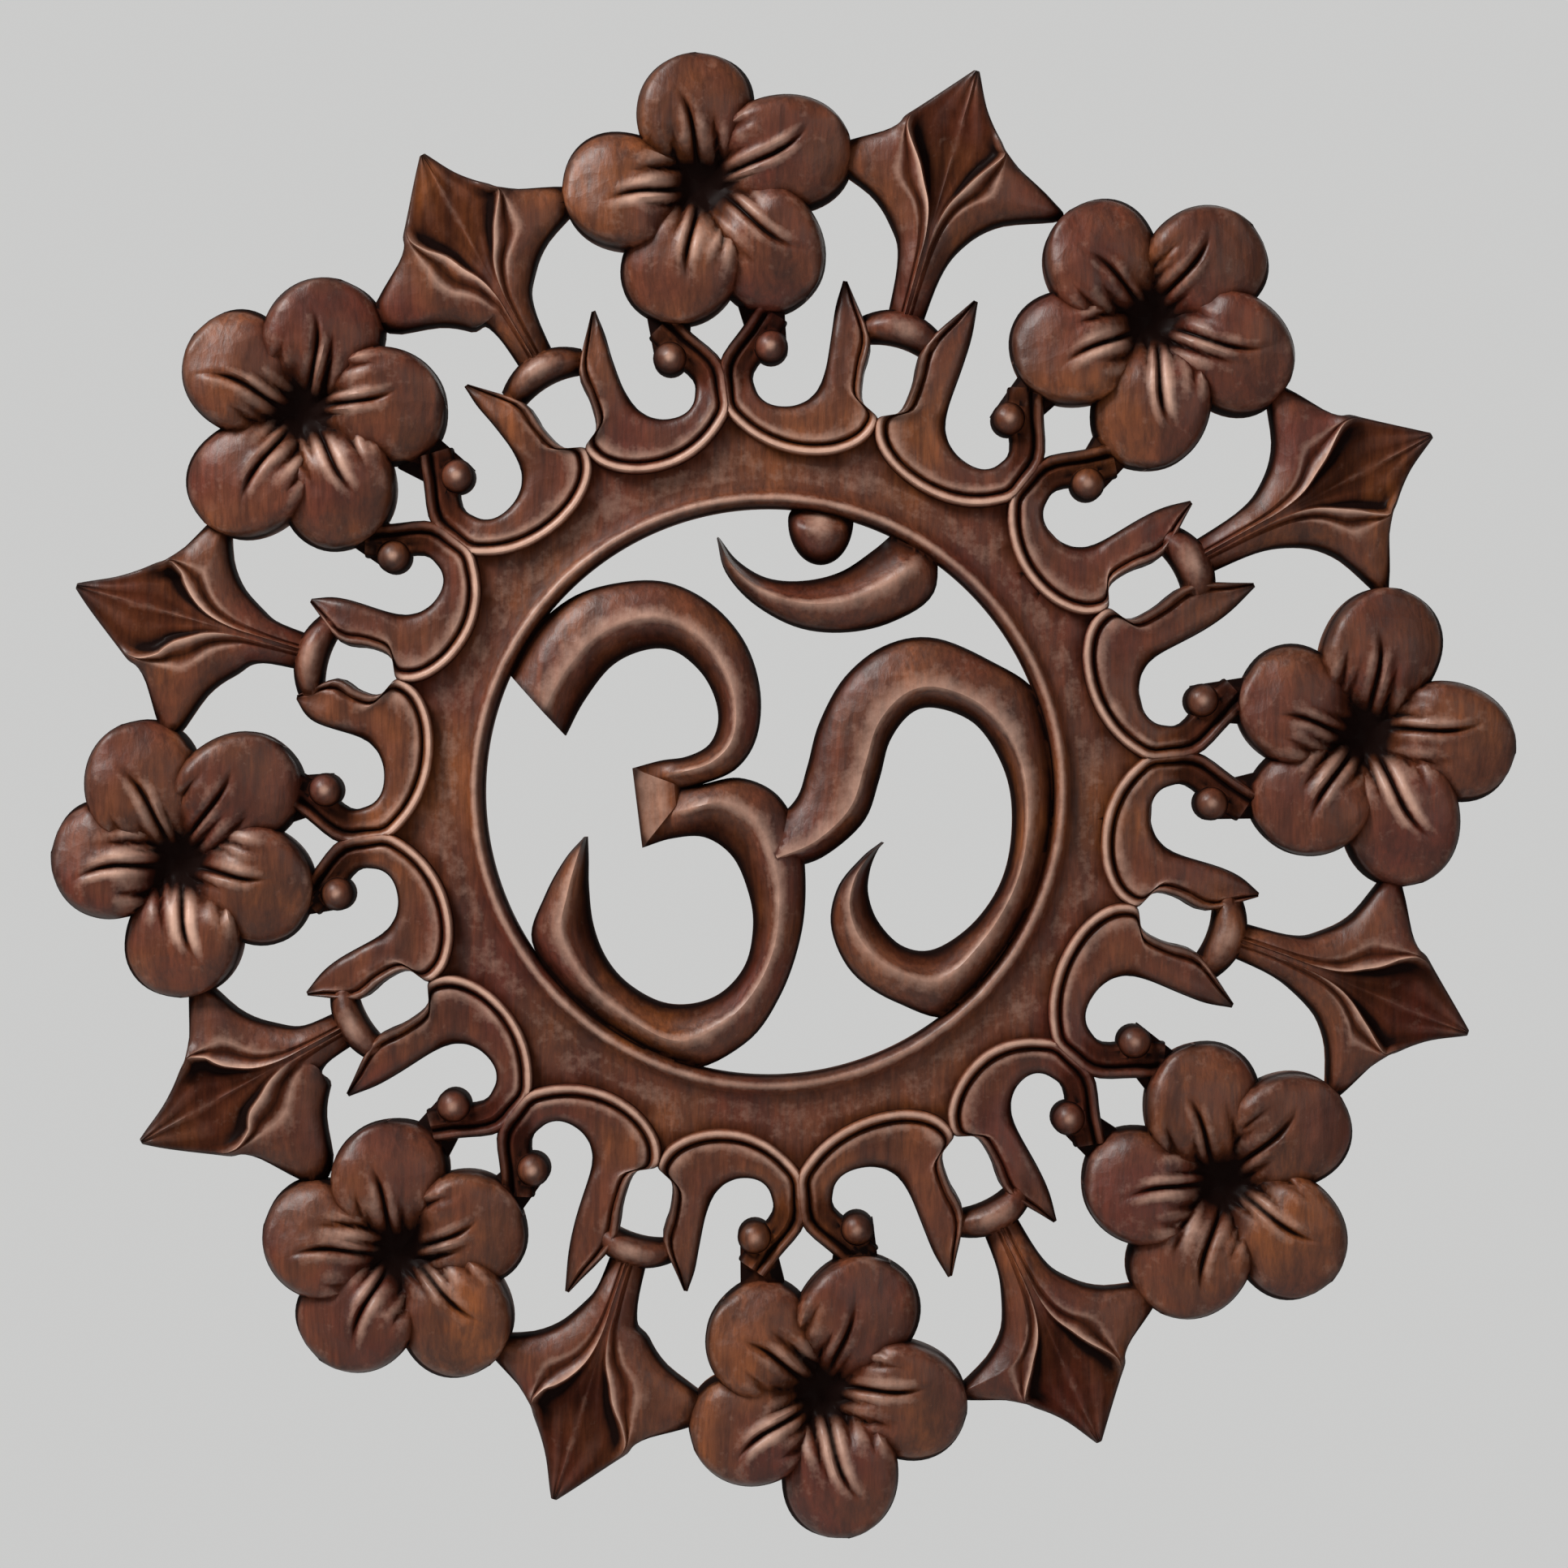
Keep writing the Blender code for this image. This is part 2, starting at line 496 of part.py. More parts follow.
def join(base, others):
    """Union of the ring with every carved form, then one flat cut across the back."""
    carving = bpy.data.collections.new("carving")
    bpy.context.scene.collection.children.link(carving)
    for other in others:
        bpy.context.collection.objects.unlink(other)
        carving.objects.link(other)
        other.hide_render = True
        other.display_type = 'WIRE'
    union = base.modifiers.new("union", 'BOOLEAN')
    union.solver = 'MANIFOLD'
    union.operation = 'UNION'
    union.operand_type = 'COLLECTION'
    union.collection = carving
    bm = bmesh.new()
    bmesh.ops.create_cube(bm, size=1.0)
    for vert in bm.verts:
        vert.co.x *= CUT_MARGIN * SPAN
        vert.co.z *= CUT_MARGIN * SPAN
        vert.co.y = 0.0 if vert.co.y < 0 else CUT_DEPTH
    cutter = keep("back_cut", bm)
    cutter.hide_render = True
    cutter.display_type = 'WIRE'
    flat = base.modifiers.new("flat_back", 'BOOLEAN')
    flat.solver = 'MANIFOLD'
    flat.operation = 'DIFFERENCE'
    flat.object = cutter
    merged = base.modifiers.new("merge_close_points", 'WELD')
    merged.merge_threshold = CLOSE_POINTS
    plain = base.modifiers.new("merge_flat_faces", 'DECIMATE')
    plain.decimate_type = 'DISSOLVE'
    plain.angle_limit = math.radians(FLAT_ANGLE)


panel = ring()
stroke("upper_bow", UPPER_BOW, 17, low_row=16)
stroke("lower_bow", LOWER_BOW, 20, low_row=0)
stroke("right_stroke", RIGHT_STROKE, 22)
stroke("crescent", CRESCENT, 10)
stroke_end()
dome("dot", DOT_CENTRE, DOT_HALF_WIDTH, DOT_LENGTH, DOT_RISE,
     SYMBOL_RIDGE_HEIGHT - DOT_DROP, SYMBOL_EDGE_HEIGHT, rings=2, sides=12)
for number in range(FLOWERS):
    for hand in (-1, 1):
        scroll(number, hand, len(SCROLL_RIBS))
        bead(number, hand)
        web(number, hand)
    leaf(number)
    collar(number)
    for petal_number in range(5):
        petal(number, petal_number)
join(panel, pieces[1:])
panel.data.materials.append(material("stained_wood", (0.20, 0.075, 0.032), 0.45))
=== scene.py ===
import math

import bmesh
import bpy
import numpy as np
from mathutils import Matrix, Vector
from mathutils.bvhtree import BVHTree


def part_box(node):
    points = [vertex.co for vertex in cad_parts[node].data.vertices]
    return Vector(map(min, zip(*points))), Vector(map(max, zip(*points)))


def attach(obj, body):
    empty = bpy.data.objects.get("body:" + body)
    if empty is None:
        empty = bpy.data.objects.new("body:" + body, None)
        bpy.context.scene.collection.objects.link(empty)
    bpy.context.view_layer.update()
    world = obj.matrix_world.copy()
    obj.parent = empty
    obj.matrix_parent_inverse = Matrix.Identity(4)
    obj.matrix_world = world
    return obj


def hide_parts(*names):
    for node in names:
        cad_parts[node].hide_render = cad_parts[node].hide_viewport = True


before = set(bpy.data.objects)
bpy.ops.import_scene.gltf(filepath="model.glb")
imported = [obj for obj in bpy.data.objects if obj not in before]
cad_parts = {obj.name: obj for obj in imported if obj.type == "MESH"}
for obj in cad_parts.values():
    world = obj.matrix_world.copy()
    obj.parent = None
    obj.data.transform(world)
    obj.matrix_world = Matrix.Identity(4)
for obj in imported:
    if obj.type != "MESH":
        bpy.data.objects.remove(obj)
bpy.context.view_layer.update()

NODE = "carved_panel"
CAD_LOW, CAD_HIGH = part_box(NODE)

# Sizes of the carving in metres; heights are above the flat back
RING_INNER_RADIUS = 0.0770
FIELD_HEIGHT = 0.0115
LIP_HEIGHT = 0.0140
SYMBOL_RIDGE_HEIGHT = 0.0165
SYMBOL_EDGE_HEIGHT = 0.0105
SCROLL_RIM_HEIGHT = 0.0150
SCROLL_GROOVE_HEIGHT = 0.0122
SCROLL_EDGE_HEIGHT = 0.0110
SCROLL_LAP = 0.0004
BEAD_RADIUS = 0.0047
BEAD_HEIGHT = 0.0160
COLLAR_HEIGHT = 0.0151
LEAF_RIDGE_HEIGHT = 0.0160
LEAF_HOLLOW_HEIGHT = 0.0112
LEAF_LEAST_HEIGHT = 0.0080
PETAL_CROWN_HEIGHT = 0.0188
PETAL_EDGE_DROP = 0.0036
PETAL_TIP_DROP = 0.0030
PETAL_RIM_DROP = 0.0030
PETAL_TILT = 0.0022
PETAL_HALF_WIDTH = 0.0159
HEART_HEIGHT = 0.0100
WEB_HEIGHT = 0.0098
ORIGIN_RISE = 0.0910

# The outlines are drawn in millimetres about the panel's centre
MM = 0.001
FLOWERS = 8
TURN = -5.6
STEP = 360.0 / FLOWERS
HEART_RADIUS = 162.0
RING_CENTRE = (-1.8, -0.8)
RING_OUTER_RADIUS = 103.9
RING_SIDES = 224
BACK_DEPTH = 0.004
BACK_STEP = 0.0001
CUT_DEPTH = 0.1
CLOSE_POINTS = 0.00002
SPUN_POINTS = 0.0001
SHARP_ANGLE = 40.0
# Painted shade on the side walls, deepening towards the back
WALL_PAINTED_SHADE = 0.6

# How the hand-cut sectors differ: each flower's heart, then each petal's direction and
# reach; the turn and outward move of each axis; each leaf's tip, its lean, and how far its
# two shoulders and undersides lie from the drawn ones; and the tips of the horns
FLOWER_TABLE = (
    (-3.6, 2.5, (3, 36), (77, 42), (143, 41.5), (203, 38.5), (275, 38)),
    (-1.9, 0.8, (8, 37.5), (75, 41), (143, 40.5), (214, 39), (284, 37)),
    (0.9, -1.6, (13, 41), (75, 43), (138, 38.5), (211, 36), (290, 40.5)),
    (5.5, -0.4, (3, 39.5), (77, 39), (141, 38), (219, 38.5), (285, 39.5)),
    (3.7, 1.9, (-5, 40), (72, 37.5), (140, 36.5), (214, 40), (284, 40)),
    (-1.2, -0.3, (-2, 36), (63, 37.5), (136, 36), (214, 35), (282, 39)),
    (-4.2, 0.7, (11, 34.5), (74, 40.5), (138, 42.5), (204, 37.5), (275, 36.5)),
    (-2.4, 1.2, (-3, 36.5), (67, 37.5), (138, 38.5), (209, 38.5), (273, 40)),
)
SCROLL_DRIFT = ((-1.6, 0.0), (-0.3, -1.8), (0.8, -2.0), (2.7, -0.8),
                (1.9, 1.7), (-0.5, 2.7), (-1.3, 2.2), (-1.6, 1.0))
LEAF_DRIFT = ((-1.4, -1.0), (-0.4, -2.5), (1.2, -2.0), (0.8, 0.5),
              (0.4, 2.0), (-1.0, 2.3), (-0.7, 1.6), (-1.0, 0.5))
LEAF_TIPS = (202.0, 202.0, 199.0, 197.5, 201.5, 196.5, 197.0, 196.5)
LEAF_LEAN = (0.2, 0.2, 1.3, 0.9, 0.0, 0.0, 0.0, 0.0)
LEAF_SAG = ((0.0, 0.0), (0.0, -0.5), (-2.0, -0.5), (0.0, -0.5),
            (-1.5, -5.0), (-6.0, -5.0), (-5.0, -5.0), (-2.0, 0.0))
LEAF_BELLY = ((-1.0, 0.5), (0.0, 1.5), (-0.5, 2.5), (-0.5, 3.0),
              (-3.5, 2.0), (-5.0, 0.5), (-1.0, 2.5), (-5.0, -1.0))
DRIFT_FADE = (112.0, 150.0)
HORN_TIPS = (((37, 133.5), (33, 135)), ((42.5, 136.5), (38.5, 131.5)),
             ((43, 134.5), (42, 127.5)), ((34, 133), (43, 133)),
             ((35, 136), (38, 133)), ((43.5, 141), (37.5, 137.5)),
             ((43.5, 131.5), (38, 126.5)), ((41, 129.5), (32, 134)))
# Ribs of the scrolls and strokes: outer x and y, inner x and y, and on the strokes the
# ridge's place between them
SCROLL_RIBS = (
    (11.5, 131, 19, 125.5), (7, 125.5, 15.5, 120.5), (-0.5, 116.5, 8.6, 113.5),
    (-1.2, 104.8, 8.4, 108.2), (1.6, 99.3, 10.2, 105.0), (6.8, 94.2, 13.4, 103.3),
    (13.2, 90.6, 17.6, 102.9), (20.2, 88.7, 21.2, 103.8), (27.6, 88.5, 23.4, 105.2),
    (34.0, 90.1, 24.7, 106.4), (38.4, 93.0, 25.4, 107.4), (40.4, 97.0, 26.3, 108.8),
    (36.8, 101.8, 28.0, 112.6), (38.2, 108.3, 31, 121), (41.8, 116.5, 33.6, 126.6),
    (38.4, 131, 37.2, 131.4),
)
HORN_START = 12
AXIS_OVERLAP = 1.2
UPPER_BOW = (
    (-72, 31, -57, 14.5, 0.62), (-66, 42.5, -52, 24, 0.62), (-55, 52, -44.5, 33.5, 0.60),
    (-42, 56, -35.5, 37.8, 0.56), (-29, 56, -27.5, 37.5, 0.55), (-17, 50, -20.5, 32, 0.55),
    (-8, 39.5, -16.5, 25, 0.57), (-4, 26.5, -15.5, 18, 0.57), (-5, 14, -18, 12, 0.52),
    (-10.5, 5.5, -24, 8.8, 0.5), (-20, 1.2, -31, 7.7, 0.5), (-30, -1, -38.7, 5.6, 0.5),
)
LOWER_BOW = (
    (-30, -1, -36, -16, 0.45), (-20, 1.2, -28, -13.5, 0.45), (-9.5, 3, -19, -13.2, 0.42),
    (0.5, -1.5, -11.5, -18.5, 0.45), (6.5, -12, -7.3, -28, 0.5), (8.3, -25, -6, -37, 0.5),
    (7, -40, -8, -47.5, 0.5), (1.5, -56, -14, -55, 0.5), (-8, -69, -22, -58.4, 0.5),
    (-25, -76, -31, -58, 0.45), (-45, -66, -40, -53, 0.5), (-58, -54, -46, -46, 0.5),
    (-66, -41, -49.5, -37, 0.5), (-62.5, -29, -50.7, -27, 0.55), (-57, -19, -50.8, -19, 0.55),
    (-51.8, -13, -51, -13, 0.5),
)
RIGHT_STROKE = (
    (-3, -11, 2, -22, 0.7), (5.5, -3, 13, -18.5, 0.72), (8.7, 6, 24, -9, 0.75),
    (12, 18, 28.3, 2.5, 0.75), (19, 30.5, 31.2, 13, 0.73), (30, 39, 37, 20.5, 0.72),
    (43, 41, 44, 22, 0.71), (58, 35, 54, 18, 0.7), (71, 26, 60.7, 9, 0.7),
    (76.5, 9, 64.2, -2, 0.7), (77, -9, 64, -16, 0.7), (73.5, -27, 60.5, -27.5, 0.7),
    (63, -46, 53, -37.5, 0.65), (48.5, -61.5, 43, -43.8, 0.58), (33, -58, 34.5, -42.7, 0.55),
    (21, -50, 28, -36, 0.52), (15.3, -38, 25.3, -28.5, 0.5), (17, -27, 25.8, -22, 0.5),
    (23.5, -18.8, 27.8, -16.8, 0.5), (29, -14.4, 29.6, -14.6, 0.5),
)
CRESCENT = (
    (-15.8, 67.8, -15.2, 68.2, 0.5), (-13.5, 59, -10, 61.8, 0.5), (-6, 50.5, -2, 57.2, 0.5),
    (6, 44, 8, 56.5, 0.5), (19, 42.6, 18, 59, 0.5), (32, 45.5, 27, 65, 0.5),
    (43, 53, 34, 70.5, 0.5), (44, 67, 40, 71, 0.5),
)
DOT_CENTRE = (12.4, 73.0)
DOT_HALF_WIDTH = 8.9
DOT_LENGTH = 12.0
DOT_RISE = -6.0
# Where the bows meet: their low ridge, the ribs over which it rises, and the facet's height
BOW_END_RIDGE = 0.10
BOW_END_FADE = (0.15, 1.5)
BOW_END_RISE = ((0.0, -0.05), (0.10, 0.16), (0.55, 0.36), (0.80, 0.30), (1.0, -0.30))
# The facet's wear with painted highlight on its outer part, and painted shade where it runs into
# the valley between the bows
BOW_END_WEAR = (0.4, 0.5, 0.8)
BOW_END_PAINTED_SHADE = (0.5, 0.7, 1.0)
LIP_REACH = (71.0, 79.0)
BOW_END = (((-38.7, 5.6), (-24.5, 0.3)), ((-36, -16), (-24.5, -1.7)))
# Ribs of the leaf: radius, left and right half widths, and the V ridge's half spread
LEAF_RIBS = (
    (128, 4.6, 4.6, 0.5), (146, 6.2, 6.2, 0.7), (155, 10, 10, 1.0), (162.5, 18, 18, 2.6),
    (168.5, 33, 33, 5.8), (173, 29, 29, 8.5), (180, 17.5, 15.5, 13.6), (184, 15, 11.5, 14),
    (191, 8.8, 5.6, 14), (200, 0.8, 0.8, 14),
)
DRAWN_TIP = 200.0
LEAF_SHOULDER = (140.0, 158.0, 172.0)
LEAF_UNDERSIDE = (150.0, 158.0, 166.0, 172.0)
LEAF_HOLLOW = (155.0, 175.0)
LEAF_RIDGE_END = (180.5, 187.0)
LEAF_RIDGE_REACH = 0.93
LEAF_STEM = (133.0, 147.0)
LEAF_STEM_DROP = 0.0034
LEAF_MARKS = (150.0, 163.0)
LEAF_LEAST_WIDTH = 0.4
LEAF_FULL_LOBE = 6.0
BEAD_PLACE = (13.8, 119.2)
WEB_CORNERS = (((9, 117), (18, 117)), ((6, 134), (19, 133)))
COLLAR_RADII = (125.5, 134.5)
COLLAR_HALF_ANGLE = 5.4
COLLAR_BOW = (2.5, 4.0)
COLLAR_ROUNDING = (0.0040, 2.2)
COLLAR_END_DROP = (0.0050, 2.5)
PETAL_TWIST = 34.0
PETAL_LOBE = 0.57
PETAL_ROOT_WIDTH = 0.22


def place(turn, x, y):
    """Drawing point of a sector turned by so many degrees, on the panel."""
    a = math.radians(turn)
    return x * math.cos(a) + y * math.sin(a), y * math.cos(a) - x * math.sin(a)


def smooth(points, count):
    """Points read evenly from a smooth curve through the given ones."""
    p = np.array(points, dtype=float)
    padded = np.vstack((2 * p[0] - p[1], p, 2 * p[-1] - p[-2]))
    out = []
    for t in np.linspace(0, len(p) - 1, count):
        i = min(int(t), len(p) - 2)
        f = t - i
        a, b, c, d = padded[i:i + 4]
        out.append(0.5 * (2 * b + (c - a) * f + (2 * a - 5 * b + 4 * c - d) * f ** 2
                          + (3 * b - a - 3 * c + d) * f ** 3))
    return np.array(out)


def between(a, b, share):
    return a + (b - a) * share


def fade(value, start, end):
    """0 up to start, 1 from end on, smooth between them."""
    t = min(max((value - start) / (end - start), 0.0), 1.0)
    return t * t * (3 - 2 * t)


def hump(value, centre, half_width):
    """Rounded bump that is 1 at its centre."""
    return math.exp(-((value - centre) / half_width) ** 2)


def profile(points):
    """Height across a form, read from (place, height) points as a smooth function."""
    places = [p for p, _ in points]
    heights = [h for _, h in points]
    return lambda value: float(np.interp(value, places, heights))


def patch_point(low, high, up, out):
    """Point on a four-cornered patch, between its low and its high pair of corners."""
    (a, b), (c, d) = low, high
    return [between(between(a[i], c[i], up), between(b[i], d[i], up), out) for i in (0, 1)]


def drift(x, z):
    """Moves a panel point as the hand-cut pattern wanders from the exact eightfold one."""
    radius = math.hypot(x, z)
    angle = math.degrees(math.atan2(x, z))
    place_on_round = ((angle - TURN) / (STEP / 2)) % (2 * FLOWERS)
    low = int(place_on_round)
    share = fade(place_on_round - low, 0.0, 1.0)
    ends = []
    for axis in (low, low + 1):
        table = LEAF_DRIFT if axis % 2 else SCROLL_DRIFT
        ends.append(table[(axis // 2) % FLOWERS])
    angle += between(ends[0][0], ends[1][0], share)
    outward = between(ends[0][1], ends[1][1], share)
    radius += outward * (1 - fade(radius, *DRIFT_FADE))
    a = math.radians(angle)
    return radius * math.sin(a), radius * math.cos(a)


pieces = []


def keep(name, bm):
    """Makes the form an object, moved down so that the origin is on the ring's top."""
    bmesh.ops.translate(bm, vec=(0, 0, -ORIGIN_RISE), verts=bm.verts)
    mesh = bpy.data.meshes.new(name)
    bm.to_mesh(mesh)
    bm.free()
    made = bpy.data.objects.new(name, mesh)
    bpy.context.collection.objects.link(made)
    pieces.append(made)
    return made


def slab(name, grid):
    """Closed form under a grid of points, run past the panel's back; each point has x, z,
    height, its wear with painted highlight, and its stain with painted shade."""
    rows, columns = grid.shape[:2]
    bm = bmesh.new()
    worn_and_highlit = bm.verts.layers.float.new("worn_and_highlit")
    stain_and_shade = bm.verts.layers.float.new("stain_and_shade")
    bmesh.ops.create_grid(bm, x_segments=columns - 1, y_segments=rows - 1, size=1.0)
    bm.verts.ensure_lookup_table()
    for vert, (x, z, height, wear_and_highlight, dark) in zip(bm.verts, grid.reshape(-1, 5)):
        vert.co = (x * MM, -height, z * MM)
        vert[worn_and_highlit] = wear_and_highlight
        vert[stain_and_shade] = dark
    back = BACK_DEPTH + BACK_STEP * len(pieces)
    result = bmesh.ops.extrude_face_region(bm, geom=bm.faces[:])
    for item in result["geom"]:
        if isinstance(item, bmesh.types.BMVert):
            item.co.y = back
            item[worn_and_highlit] = 0.0
            # Painted shade on the side walls
            item[stain_and_shade] = WALL_PAINTED_SHADE
    bmesh.ops.recalc_face_normals(bm, faces=bm.faces[:])
    return keep(name, bm)


# Ring outward from its opening: distance, height above the back, wear with painted highlight,
# stain with painted shade
RING_OUTLINE = (
    (0.0, LIP_HEIGHT - 0.0030, 0, 0.7), (0.0006, LIP_HEIGHT - 0.0019, 0, 0.4),
    (0.0013, LIP_HEIGHT - 0.0009, 0.05, 0.2), (0.0019, LIP_HEIGHT - 0.0002, 0.3, 0),
    (0.0024, LIP_HEIGHT, 0.55, 0), (0.0030, LIP_HEIGHT - 0.0001, 0.5, 0),
    (0.0036, LIP_HEIGHT - 0.0006, 0.2, 0), (0.0043, LIP_HEIGHT - 0.0016, 0, 0.12),
    (0.0052, FIELD_HEIGHT + 0.0002, 0, 0.15), (0.0063, FIELD_HEIGHT - 0.0002, 0, 0.05),
    (0.0080, FIELD_HEIGHT - 0.0005, 0.16, 0), (0.0120, FIELD_HEIGHT - 0.0005, 0.16, 0),
    (0.0170, FIELD_HEIGHT, 0.08, 0),
)


def ring():
    """Plain band, a little dished, with a raised lip round the opening."""
    inner = RING_INNER_RADIUS
    outer = RING_OUTER_RADIUS * MM
    points = [(inner + r, h, wear_and_highlight, dark) for r, h, wear_and_highlight, dark in RING_OUTLINE]
    # Painted shade on the inner and outer side walls
    points = [(inner, -BACK_DEPTH, 0, WALL_PAINTED_SHADE)] + points
    points += [(outer, FIELD_HEIGHT, 0, 0), (outer, -BACK_DEPTH, 0, WALL_PAINTED_SHADE)]
    bm = bmesh.new()
    worn_and_highlit = bm.verts.layers.float.new("worn_and_highlit")
    stain_and_shade = bm.verts.layers.float.new("stain_and_shade")
    verts = []
    for r, h, wear_and_highlight, dark in points:
        vert = bm.verts.new((r, -h, 0))
        vert[worn_and_highlit] = wear_and_highlight
        vert[stain_and_shade] = dark
        verts.append(vert)
    edges = [bm.edges.new((a, b)) for a, b in zip(verts, verts[1:] + verts[:1])]
    bmesh.ops.spin(bm, geom=verts + edges, cent=(0, 0, 0), axis=(0, 1, 0),
                   angle=math.tau, steps=RING_SIDES, use_merge=True)
    bmesh.ops.recalc_face_normals(bm, faces=bm.faces[:])
    bmesh.ops.translate(bm, vec=(RING_CENTRE[0] * MM, 0, RING_CENTRE[1] * MM), verts=bm.verts)
    return keep("carved_wood", bm)


# Stroke of the symbol: share of the way across each side, share of the ridge's rise,
# wear with painted highlight along the ridge, and stain with painted shade at the edges
STROKE_OUTER = (
    (0.0, -0.30, 0, 0.9), (0.04, 0.0, 0, 0.75), (0.10, 0.22, 0, 0.45), (0.18, 0.38, 0, 0.22),
    (0.30, 0.54, 0, 0.06), (0.45, 0.69, 0, 0), (0.60, 0.80, 0.08, 0), (0.74, 0.89, 0.25, 0),
    (0.86, 0.95, 0.42, 0), (0.94, 0.985, 0.52, 0), (1.0, 1.0, 0.55, 0),
)
STROKE_INNER = (
    (0.10, 0.93, 0.40, 0), (0.22, 0.74, 0.12, 0), (0.38, 0.50, 0, 0.10), (0.55, 0.30, 0, 0.30),
    (0.72, 0.14, 0, 0.5), (0.88, -0.05, 0, 0.7), (1.0, -0.30, 0, 0.9),
)
# Painted shade where the symbol has sunk below the lip
SUNK_PAINTED_SHADE = 0.7


def under_lip(x, z):
    """0 inside the ring, 1 where the symbol has sunk below the ring's lip."""
    return fade(math.hypot(x - RING_CENTRE[0], z - RING_CENTRE[1]), *LIP_REACH)


def stroke(name, ribs, rows, low_end=None):
    """Stroke of the symbol: a broad rounded side, a ridge, and a hollow steep side."""
    grid = []
    for number, (ox, oz, ix, iz, ridge) in enumerate(smooth(ribs, rows)):
        crest = 1.0
        if low_end is not None:
            ribs_away = abs(number - low_end * (rows - 1)) * (len(ribs) - 1) / (rows - 1)
            crest = between(BOW_END_RIDGE, 1.0, fade(ribs_away, *BOW_END_FADE))
        row = []
        across = [(share * ridge, *rest) for share, *rest in STROKE_OUTER]
        across += [(ridge + share * (1 - ridge), *rest) for share, *rest in STROKE_INNER]
        for share, lift, wear_and_highlight, dark in across:
            x = between(ox, ix, share)
            z = between(oz, iz, share)
            sunk = under_lip(x, z)
            lift *= crest * (1 - sunk)
            row.append((x, z, between(SYMBOL_EDGE_HEIGHT, SYMBOL_RIDGE_HEIGHT, lift),
                        wear_and_highlight * crest * (1 - sunk), max(dark, SUNK_PAINTED_SHADE * sunk)))
        grid.append(row)
    return slab(name, np.array(grid))


def stroke_end():
    """Flat three-cornered facet where the two bows meet."""
    rise = profile(BOW_END_RISE)
    grid = []
    for down in np.linspace(0, 1, 7):
        row = []
        for inward in np.linspace(0, 1, 11):
            x, z = patch_point(*BOW_END, down, inward)
            height = between(SYMBOL_EDGE_HEIGHT, SYMBOL_RIDGE_HEIGHT, rise(inward))
            wear_and_highlight = BOW_END_WEAR[0] * (1 - fade(inward, *BOW_END_WEAR[1:]))
            dark = BOW_END_PAINTED_SHADE[0] * fade(inward, *BOW_END_PAINTED_SHADE[1:])
            row.append((x, z, height, wear_and_highlight, dark))
        grid.append(row)
    return slab("bow_end", np.array(grid))


# Knobs, by share of the radius: a painted highlight at the top, painted shade below it, and
# painted shade at the foot
KNOB_PAINTED_HIGHLIGHT = 0.7
KNOB_HIGHLIGHT_REACH = 0.35
KNOB_SHADE = (0.1, 0.45)
KNOB_FOOT = (0.5, 0.95)
BEAD_PAINTED_SHADE = 0.72


def dome(name, centre, half_width, half_length, rise, top, side, rings, sides, dark=0.0,
         sinks=False):
    """Rounded knob on straight sides, turned and then stretched; rise lengthens its top,
    and one that sinks runs down below the ring's lip."""
    back = BACK_DEPTH + BACK_STEP * len(pieces)
    points = [(0, -back), (1, -back)]
    for level in range(rings):
        a = level / rings * math.pi / 2
        points.append((math.cos(a), between(side, top, math.sin(a))))
    points.append((0, top))
    bm = bmesh.new()
    verts = [bm.verts.new((r, -h, 0)) for r, h in points]
    edges = [bm.edges.new(pair) for pair in zip(verts, verts[1:])]
    bmesh.ops.spin(bm, geom=verts + edges, cent=(0, 0, 0), axis=(0, 1, 0),
                   angle=math.tau, steps=sides, use_merge=True)
    bmesh.ops.remove_doubles(bm, verts=bm.verts, dist=SPUN_POINTS)
    worn_and_highlit = bm.verts.layers.float.new("worn_and_highlit")
    stain_and_shade = bm.verts.layers.float.new("stain_and_shade")
    for vert in bm.verts:
        out = math.hypot(vert.co.x, vert.co.z)
        vert[worn_and_highlit] = KNOB_PAINTED_HIGHLIGHT * hump(out, 0.0, KNOB_HIGHLIGHT_REACH)
        vert[stain_and_shade] = max(dark * fade(out, *KNOB_SHADE), fade(out, *KNOB_FOOT))
        stretch = half_length + (rise if vert.co.z > 0 else 0)
        vert.co.x = (centre[0] + vert.co.x * half_width) * MM
        vert.co.z = (centre[1] + vert.co.z * stretch) * MM
        if sinks and vert.co.y < 0:
            vert.co.y = between(vert.co.y, -side, under_lip(vert.co.x / MM, vert.co.z / MM))
    bmesh.ops.recalc_face_normals(bm, faces=bm.faces[:])
    return keep(name, bm)


# Scroll, from its rim to its inner edge: millimetres in from the rim, height above the
# back, wear with painted highlight on the rim, and stain with painted shade at the edge and in
# the groove
SCROLL_RIM = (
    (0.0, 0.0116, 0, 0.7), (0.25, 0.0132, 0, 0.35), (0.6, 0.0143, 0.3, 0),
    (1.0, 0.01490, 0.8, 0), (1.5, SCROLL_RIM_HEIGHT, 0.9, 0), (2.0, 0.0148, 0.6, 0),
    (2.4, 0.0142, 0.2, 0.05), (2.8, 0.0134, 0, 0.4), (3.2, SCROLL_GROOVE_HEIGHT + 0.0004, 0, 0.6),
    (3.7, 0.0131, 0, 0.3), (4.2, 0.0137, 0.3, 0), (4.8, 0.0139, 0.45, 0),
)
# and then share of the rest of the way, height, wear with painted highlight, and stain with
# painted shade towards the inner edge
SCROLL_BODY = (
    (0.16, 0.0136, 0.15, 0.05), (0.34, 0.0133, 0, 0.12), (0.54, 0.0132, 0, 0.12),
    (0.72, 0.0131, 0.05, 0.15), (0.86, 0.0125, 0, 0.4), (0.95, 0.0114, 0, 0.7),
    (1.0, 0.0096, 0, 0.95),
)
SCROLL_FULL_WIDTH = 9.0
